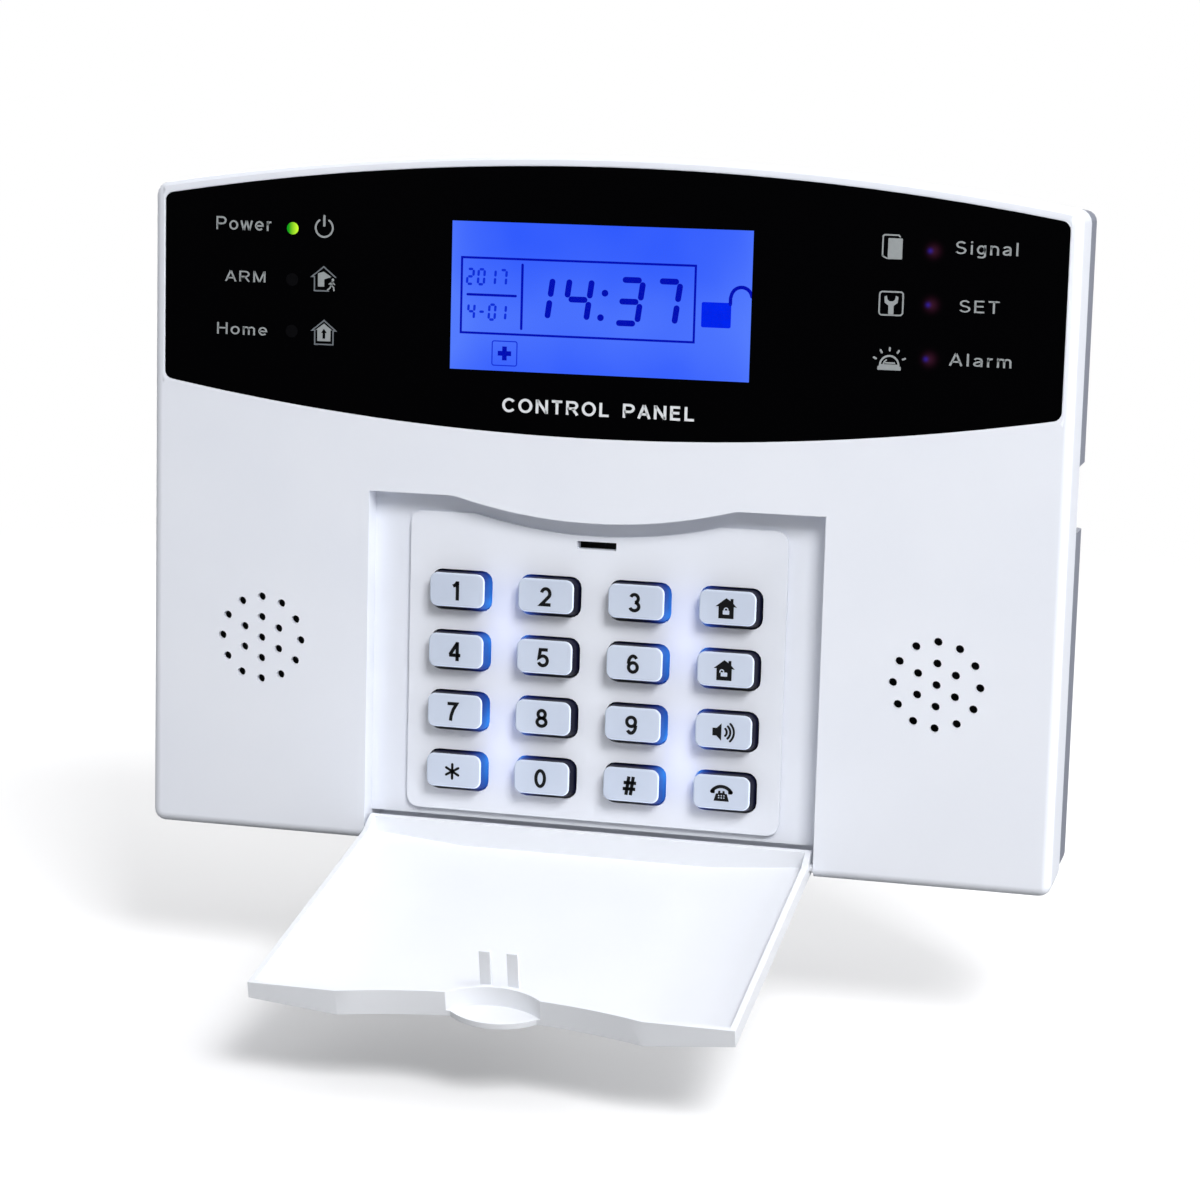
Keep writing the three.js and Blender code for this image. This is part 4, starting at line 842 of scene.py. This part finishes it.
def barrel_outline(low, high, grow):
    """The window's outline: arched top and bottom edges, straight sides and small rounded corners."""
    half = high.x + grow
    flat = half - LENS_RADIUS

    def top(x):
        return high.z + grow - LENS_TOP_DROP * (x / half) ** 2

    def bottom(x):
        return low.z - grow + LENS_BOTTOM_RISE * (x / half) ** 2

    def corner(start, control, end):
        """Points round a corner, without its two ends."""
        shares = [i / 8 for i in range(1, 8)]
        return [tuple((1 - t) ** 2 * start[axis] + 2 * t * (1 - t) * control[axis] + t * t * end[axis]
                      for axis in range(2)) for t in shares]

    across = [-flat + 2 * flat * i / LENS_STEPS for i in range(LENS_STEPS + 1)]
    low_edge = [(x, bottom(x)) for x in across]
    high_edge = [(x, top(x)) for x in reversed(across)]
    low_side = bottom(half) + LENS_RADIUS
    high_side = top(half) - LENS_RADIUS
    right = (corner(low_edge[-1], (half, bottom(half)), (half, low_side)) +
             [(half, low_side), (half, high_side)] +
             corner((half, high_side), (half, top(half)), high_edge[0]))
    left = [(-x, z) for x, z in reversed(right)]
    return low_edge + right + high_edge + left


def make_window():
    """The window sheet, with a fine outline and eased front edges."""
    low, high, _ = box_mm("window_lens")
    rings = [(LENS_GROW, high.y), (LENS_GROW, WINDOW_Y + LENS_EDGE)]
    for step in range(1, 4):
        angle = math.radians(30 * step)
        inset = LENS_EDGE * (1 - math.cos(angle))
        rings.append((LENS_GROW - inset, WINDOW_Y + LENS_EDGE * (1 - math.sin(angle))))
    outlines = [[(x, y, z) for x, z in barrel_outline(low, high, grow)] for grow, y in rings]
    piece = link("window_sheet", loft("window_sheet", outlines), window_black(), "housing")
    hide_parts("window_lens")


# The lip's section, from the sheet outwards: (distance from the sheet's CAD outline, depth behind the face)
LIP_SECTION = ((0.24, 0.3), (0.24, 0.12), (0.3, 0.06), (0.4, -0.01), (0.5, -0.03), (0.62, -0.035),
               (1.42, 0.002), (1.5, 0.006), (1.5, 0.3))
CASE_ROUNDING = 2.0              # radius of the casing's front edges


def make_window_lip():
    """The casing's slightly raised edge round the window, which catches the light."""
    low, high, _ = box_mm("window_lens")
    case_low, case_high, _ = box_mm("front_shell")
    flat_x = case_high.x - CASE_ROUNDING
    outlines = [[(max(-flat_x, min(flat_x, x)), case_low.y + depth, z)
                 for x, z in barrel_outline(low, high, grow)] for grow, depth in LIP_SECTION]
    mesh = loft("window_lip", outlines, capped=False)
    mesh.polygons.foreach_set("use_smooth", [True] * len(mesh.polygons))
    link("window_lip", mesh, casing_white, "housing")


def print_words():
    """Generic names of the status lights, and the panel's title. Each is (text, centre, size)."""
    words = (
        ("Power", (-75.4, 55.5), (12.0, 2.7)), ("ARM", (-75.0, 44.75), (8.8, 2.3)),
        ("Home", (-75.6, 34.0), (11.0, 2.4)), ("Signal", (76.8, 55.4), (12.0, 3.2)),
        ("SET", (75.85, 44.5), (7.7, 2.4)), ("Alarm", (76.45, 34.15), (12.1, 2.5)),
    )
    for text, centre, size in words:
        shapes = fitted(letter_shapes(text, 0.125, 0.17), centre, *size)
        printed("word_" + text.lower(), shapes, WINDOW_Y, window_ink, "housing")
    title = fitted(letter_shapes("CONTROL PANEL", 0.18, 0.22), (0.3, 21.0), 39.7, 2.95)
    printed("word_title", title, WINDOW_Y, title_ink, "housing")


def window_mark(name, shapes, at, scale=0.94, ink=window_ink):
    printed("icon_" + name, shapes, WINDOW_Y, ink, "housing", at, scale)


def walker(scale):
    """A walking figure drawn in lines."""
    parts = [[disc(0.35, 1.15, 0.28, 12)], line([(0.25, 0.75), (0.0, 0.0)], 0.42),
             line([(0.0, 0.0), (0.55, -0.45), (0.6, -1.05)], 0.28),
             line([(0.0, 0.0), (-0.3, -0.6), (-0.8, -0.95)], 0.28),
             line([(0.2, 0.65), (0.75, 0.2)], 0.24), line([(0.2, 0.65), (-0.45, 0.25)], 0.24)]
    return [[[(scale * x, scale * z) for x, z in loop] for loop in part] for part in parts]


def print_icons():
    """The six pictures beside the status lights."""
    power = [line(arc(0, -0.2, 1.95, 125, 415, 36), 0.42), line([(0, 0.3), (0, 2.3)], 0.5)]
    window_mark("power", power, (-58.0, 55.4))
    eaves = house_outline(5.4, 5.2, 0.6, 0.42)
    inner = [(-1.3, -1.7), (0.15, -1.7), (0.15, -0.1), (1.75, 0.45), (0.0, 1.55), (-1.3, 1.15)]
    outline = line([(1.15, -2.6), (-2.1, -2.6), (-2.1, 0.42), (-2.7, 0.42), (0, 2.6), (2.7, 0.42)], 0.3)
    window_mark("house_away_outline", [outline], (-58.0, 44.9), ink=dim_ink)
    window_mark("house_away", [[inner]] + moved(walker(1.05), 1.75, -1.35), (-58.0, 44.9))
    room = house_outline(3.4, 3.4, 0.35, 0.36)
    person = [(-0.28, -1.2), (0.28, -1.2), (0.28, -0.1), (0.6, -0.1), (0, 0.75), (-0.6, -0.1), (-0.28, -0.1)]
    window_mark("house_home_outline", [ring(eaves, 0.3)], (-57.8, 34.0), ink=dim_ink)
    window_mark("house_home", [[room, person]], (-57.8, 34.0), 1.05)
    back_card = [(-2.05, -1.9), (-2.05, 2.2), (-1.75, 2.45), (1.2, 2.45), (1.5, 2.1)]
    front_card = rounded_box(0.55, -0.35, 3.0, 4.3, 0.15, 3)
    card = [line(back_card, 0.3), line([(-2.05, -1.9), (-1.1, -2.35)], 0.3), [front_card]]
    window_mark("card", card, (58.5, 55.4))
    right_side = [(0.55, -2.3), (0.55, -0.45), (1.35, 0.15), (1.45, 1.35), (0.95, 1.6), (0.75, 0.75),
                  (0.35, 0.45)]
    wrench = right_side + [(-x, z) for x, z in reversed(right_side)]
    window_mark("wrench", [ring(rounded_box(0, 0, 4.9, 4.8, 0.6), 0.32), [wrench]], (58.65, 44.5))
    dome = arc(0, -1.5, 1.95, 180, 0, 20)
    siren = [ring(dome, 0.4), [rounded_box(0, -2.1, 4.9, 0.8, 0.15, 3)]]
    siren.append(line([(-1.0, -1.0), (1.1, -1.0)], 0.3))
    siren.append(line(arc(0, -1.5, 1.25, 165, 120, 6), 0.3))
    for angle in (25, 58, 90, 122, 155):
        near = arc(0, -1.5, 3.1, angle, angle, 1)[0]
        far = arc(0, -1.5, 3.6, angle, angle, 1)[0]
        siren.append(line([near, far], 0.42))
    window_mark("siren", siren, (58.75, 33.9))


LCD_FRAME = [(-29.0, 35.2), (19.3, 35.2), (19.3, 50.3), (-29.0, 50.3)]
BIG_DIGITS = (("1", -15.6), ("4", -7.5), ("3", 3.0), ("7", 10.6))
BIG_DIGIT_Z = 38.4
BIG_DIGIT = {"width": 4.6, "height": 8.6, "thickness": 1.2, "slant": 0.13}
SMALL_DIGIT = {"width": 1.25, "height": 3.0, "thickness": 0.5, "slant": 0.06}


def lcd_mark(name, shapes, material, at=(0, 0)):
    piece = printed("lcd_" + name, shapes, LCD_PRINT_Y, material, "housing", at)


def small_digits(text, x, z, pitch):
    return [bar for i, sign in enumerate(text)
            for bar in segment_digit(sign, x + i * pitch, z, **SMALL_DIGIT)]


def draw_lcd():
    """What the display shows: the time, the date, an open padlock and a plus sign."""
    strong = lcd_segment("lcd_segment_strong", colour(2, 16, 190))
    faint = lcd_segment("lcd_segment_faint", colour(14, 50, 226))
    solid = lcd_segment("lcd_segment_solid", colour(0, 38, 248))
    lines = [ring(LCD_FRAME, 0.45), line([(-16.3, 36.4), (-16.3, 49.2)], 0.5),
             line([(-27.7, 42.9), (-17.6, 42.9)], 0.5)]
    lcd_mark("frame_lines", lines, strong)
    bars = [bar for sign, x in BIG_DIGITS for bar in segment_digit(sign, x, BIG_DIGIT_Z, **BIG_DIGIT)]
    colon = [[disc(0.9, 44.2, 0.68)], [disc(0.1, 39.3, 0.68)]]
    lcd_mark("time", bars + colon, strong)
    lcd_mark("year", small_digits("2017", -27.9, 45.0, 2.3), faint)
    lcd_mark("date", small_digits("4-01", -27.6, 38.0, 2.2), faint)
    lock_body = rounded_box(23.7, 40.75, 6.0, 5.0, 0.35, 3)
    shackle = [(26.5, 43.0), (26.5, 44.2)] + arc(28.7, 44.3, 2.1, 170, 10, 16)
    lcd_mark("padlock", [[lock_body]], solid)
    lcd_mark("shackle", [line(shackle, 0.7)], strong)
    arm = 1.4
    bar = 0.48
    cross = [(-arm, -bar), (-bar, -bar), (-bar, -arm), (bar, -arm), (bar, -bar), (arm, -bar), (arm, bar),
             (bar, bar), (bar, arm), (-bar, arm), (-bar, bar), (-arm, bar)]
    lcd_mark("plus", [[cross]], strong, (-19.7, 31.3))
    lcd_mark("plus_box", [ring(rounded_box(0, 0, 5.2, 4.9, 0.4, 4), 0.22)], faint, (-19.7, 31.3))


# ---------------------------------------- stage, light and camera

def world_light(above, below, reflected):
    """White to the camera. As light, bright from above and dim from below, and dimmer in reflections."""
    world = bpy.data.worlds.new("studio")
    world.use_nodes = True
    tree = world.node_tree
    tree.nodes.clear()

    def value_of(kind, inputs=None, **settings):
        return add_node(tree, kind, inputs, **settings).outputs

    path = value_of("ShaderNodeLightPath")
    direction = value_of("ShaderNodeTexCoord")["Generated"]
    height = value_of("ShaderNodeSeparateXYZ", {0: direction})[2]
    light = value_of("ShaderNodeMapRange", {"Value": height, "From Min": -0.35, "From Max": 0.45,
                                            "To Min": below, "To Max": above})[0]
    mirrored = value_of("ShaderNodeMath", {0: light, 1: reflected}, operation="MULTIPLY")[0]
    light = value_of("ShaderNodeMix", {0: path["Is Glossy Ray"], 2: light, 3: mirrored})[0]
    strength = value_of("ShaderNodeMix", {0: path["Is Camera Ray"], 2: light, 3: 1.0})[0]
    background = value_of("ShaderNodeBackground", {"Color": (1, 1, 1, 1), "Strength": strength})
    value_of("ShaderNodeOutputWorld", {"Surface": background[0]})
    bpy.context.scene.world = world


def softbox(name, place, target, size, power):
    lamp = bpy.data.lights.new(name, "AREA")
    lamp.shape = "RECTANGLE"
    lamp.size, lamp.size_y = size
    lamp.energy = power
    holder = bpy.data.objects.new(name, lamp)
    bpy.context.scene.collection.objects.link(holder)
    holder.location = place
    holder.rotation_mode = "QUATERNION"
    holder.rotation_quaternion = (Vector(target) - Vector(place)).to_track_quat("-Z", "Y")
    return holder


def studio_lights():
    softbox("key_light", (0.5, -0.8, 0.72), (0, 0, 0), (0.4, 0.4), 10.8)
    softbox("side_light", (1.0, -0.1, 0.2), (0, 0, 0), (0.5, 0.6), 6.5)
    softbox("back_light", (-0.3, 0.95, 0.6), (0, 0, 0), (0.8, 0.5), 4.0)
    softbox("rear_fill", (-0.7, 1.0, 0.1), (0, 0, -0.02), (0.9, 0.7), 6.0)
    left_fill = softbox("left_fill", (-1.0, -0.35, 0.1), (0, 0, 0), (0.3, 0.4), 0.9)
    left_fill.visible_glossy = False


FLOOR_Z = -104 * MM              # below the lid's lowest reach
FLOOR_HALF = 4.0
FLOOR_FADE = (0.28, 0.75)        # the floor turns into plain white between these distances


def pale_floor():
    """A pale floor that keeps the object's soft shadow, and gives little light back."""
    shader = Shader("floor_pale")
    flat = shader.add("ShaderNodeVectorMath", {0: shader.place(), 1: (1, 1, 0)}, operation="MULTIPLY")
    distance = shader.add("ShaderNodeVectorMath", {0: flat.outputs[0]}, operation="LENGTH").outputs["Value"]
    fade = shader.add("ShaderNodeMapRange",
                      {"Value": distance, "From Min": FLOOR_FADE[0], "From Max": FLOOR_FADE[1]},
                      interpolation_type="SMOOTHSTEP").outputs[0]
    seen = shader.add("ShaderNodeLightPath").outputs["Is Camera Ray"]
    surface = shader.principled({
        "Base Color": shader.mix_colour(seen, (0.3, 0.3, 0.3, 1), (0.88, 0.88, 0.89, 1)),
        "Roughness": 0.9,
        "Specular IOR Level": 0.1,
        "Emission Color": (1, 1, 1, 1),
        "Emission Strength": shader.math("MULTIPLY", seen, 0.1),
    })
    white = shader.add("ShaderNodeEmission", {"Color": (1, 1, 1, 1), "Strength": seen}).outputs[0]
    mesh = bpy.data.meshes.new("floor")
    corners = [(sx * FLOOR_HALF, sy * FLOOR_HALF, FLOOR_Z) for sx, sy in ((-1, -1), (1, -1), (1, 1), (-1, 1))]
    mesh.from_pydata(corners, [], [(0, 1, 2, 3)])
    mesh.materials.append(shader.finish(shader.blend(fade, surface, white)))
    floor = bpy.data.objects.new("floor", mesh)
    bpy.context.scene.collection.objects.link(floor)
    floor.visible_glossy = False


def photo_camera(target, azimuth, elevation, distance, roll, lens):
    """A camera round the target: angles in degrees, lengths in millimetres. Azimuth 0 looks along +Y."""
    a, e = math.radians(azimuth), math.radians(elevation)
    back = Vector((math.sin(a) * math.cos(e), -math.cos(a) * math.cos(e), math.sin(e)))
    turn = (-back).to_track_quat("-Z", "Y").to_matrix().to_4x4() @ Matrix.Rotation(math.radians(roll), 4, "Z")
    data = bpy.data.cameras.new("camera")
    data.lens = lens
    data.sensor_width = 36
    data.clip_start = 0.01
    camera = bpy.data.objects.new("camera", data)
    bpy.context.scene.collection.objects.link(camera)
    camera.matrix_world = Matrix.Translation((Vector(target) + back * distance) * MM) @ turn
    bpy.context.scene.camera = camera


# ---------------------------------------- build

dress_cad_nodes()
make_window()
make_window_lip()
make_keys()
print_words()
print_icons()
draw_lcd()

world_light(above=0.5, below=0.0, reflected=0.5)
pale_floor()
studio_lights()
photo_camera(target=(1.94, -33, -17.40), azimuth=14.44, elevation=8.75, distance=609.1, roll=1.53, lens=90.54)
bpy.context.scene.view_settings.view_transform = "Standard"
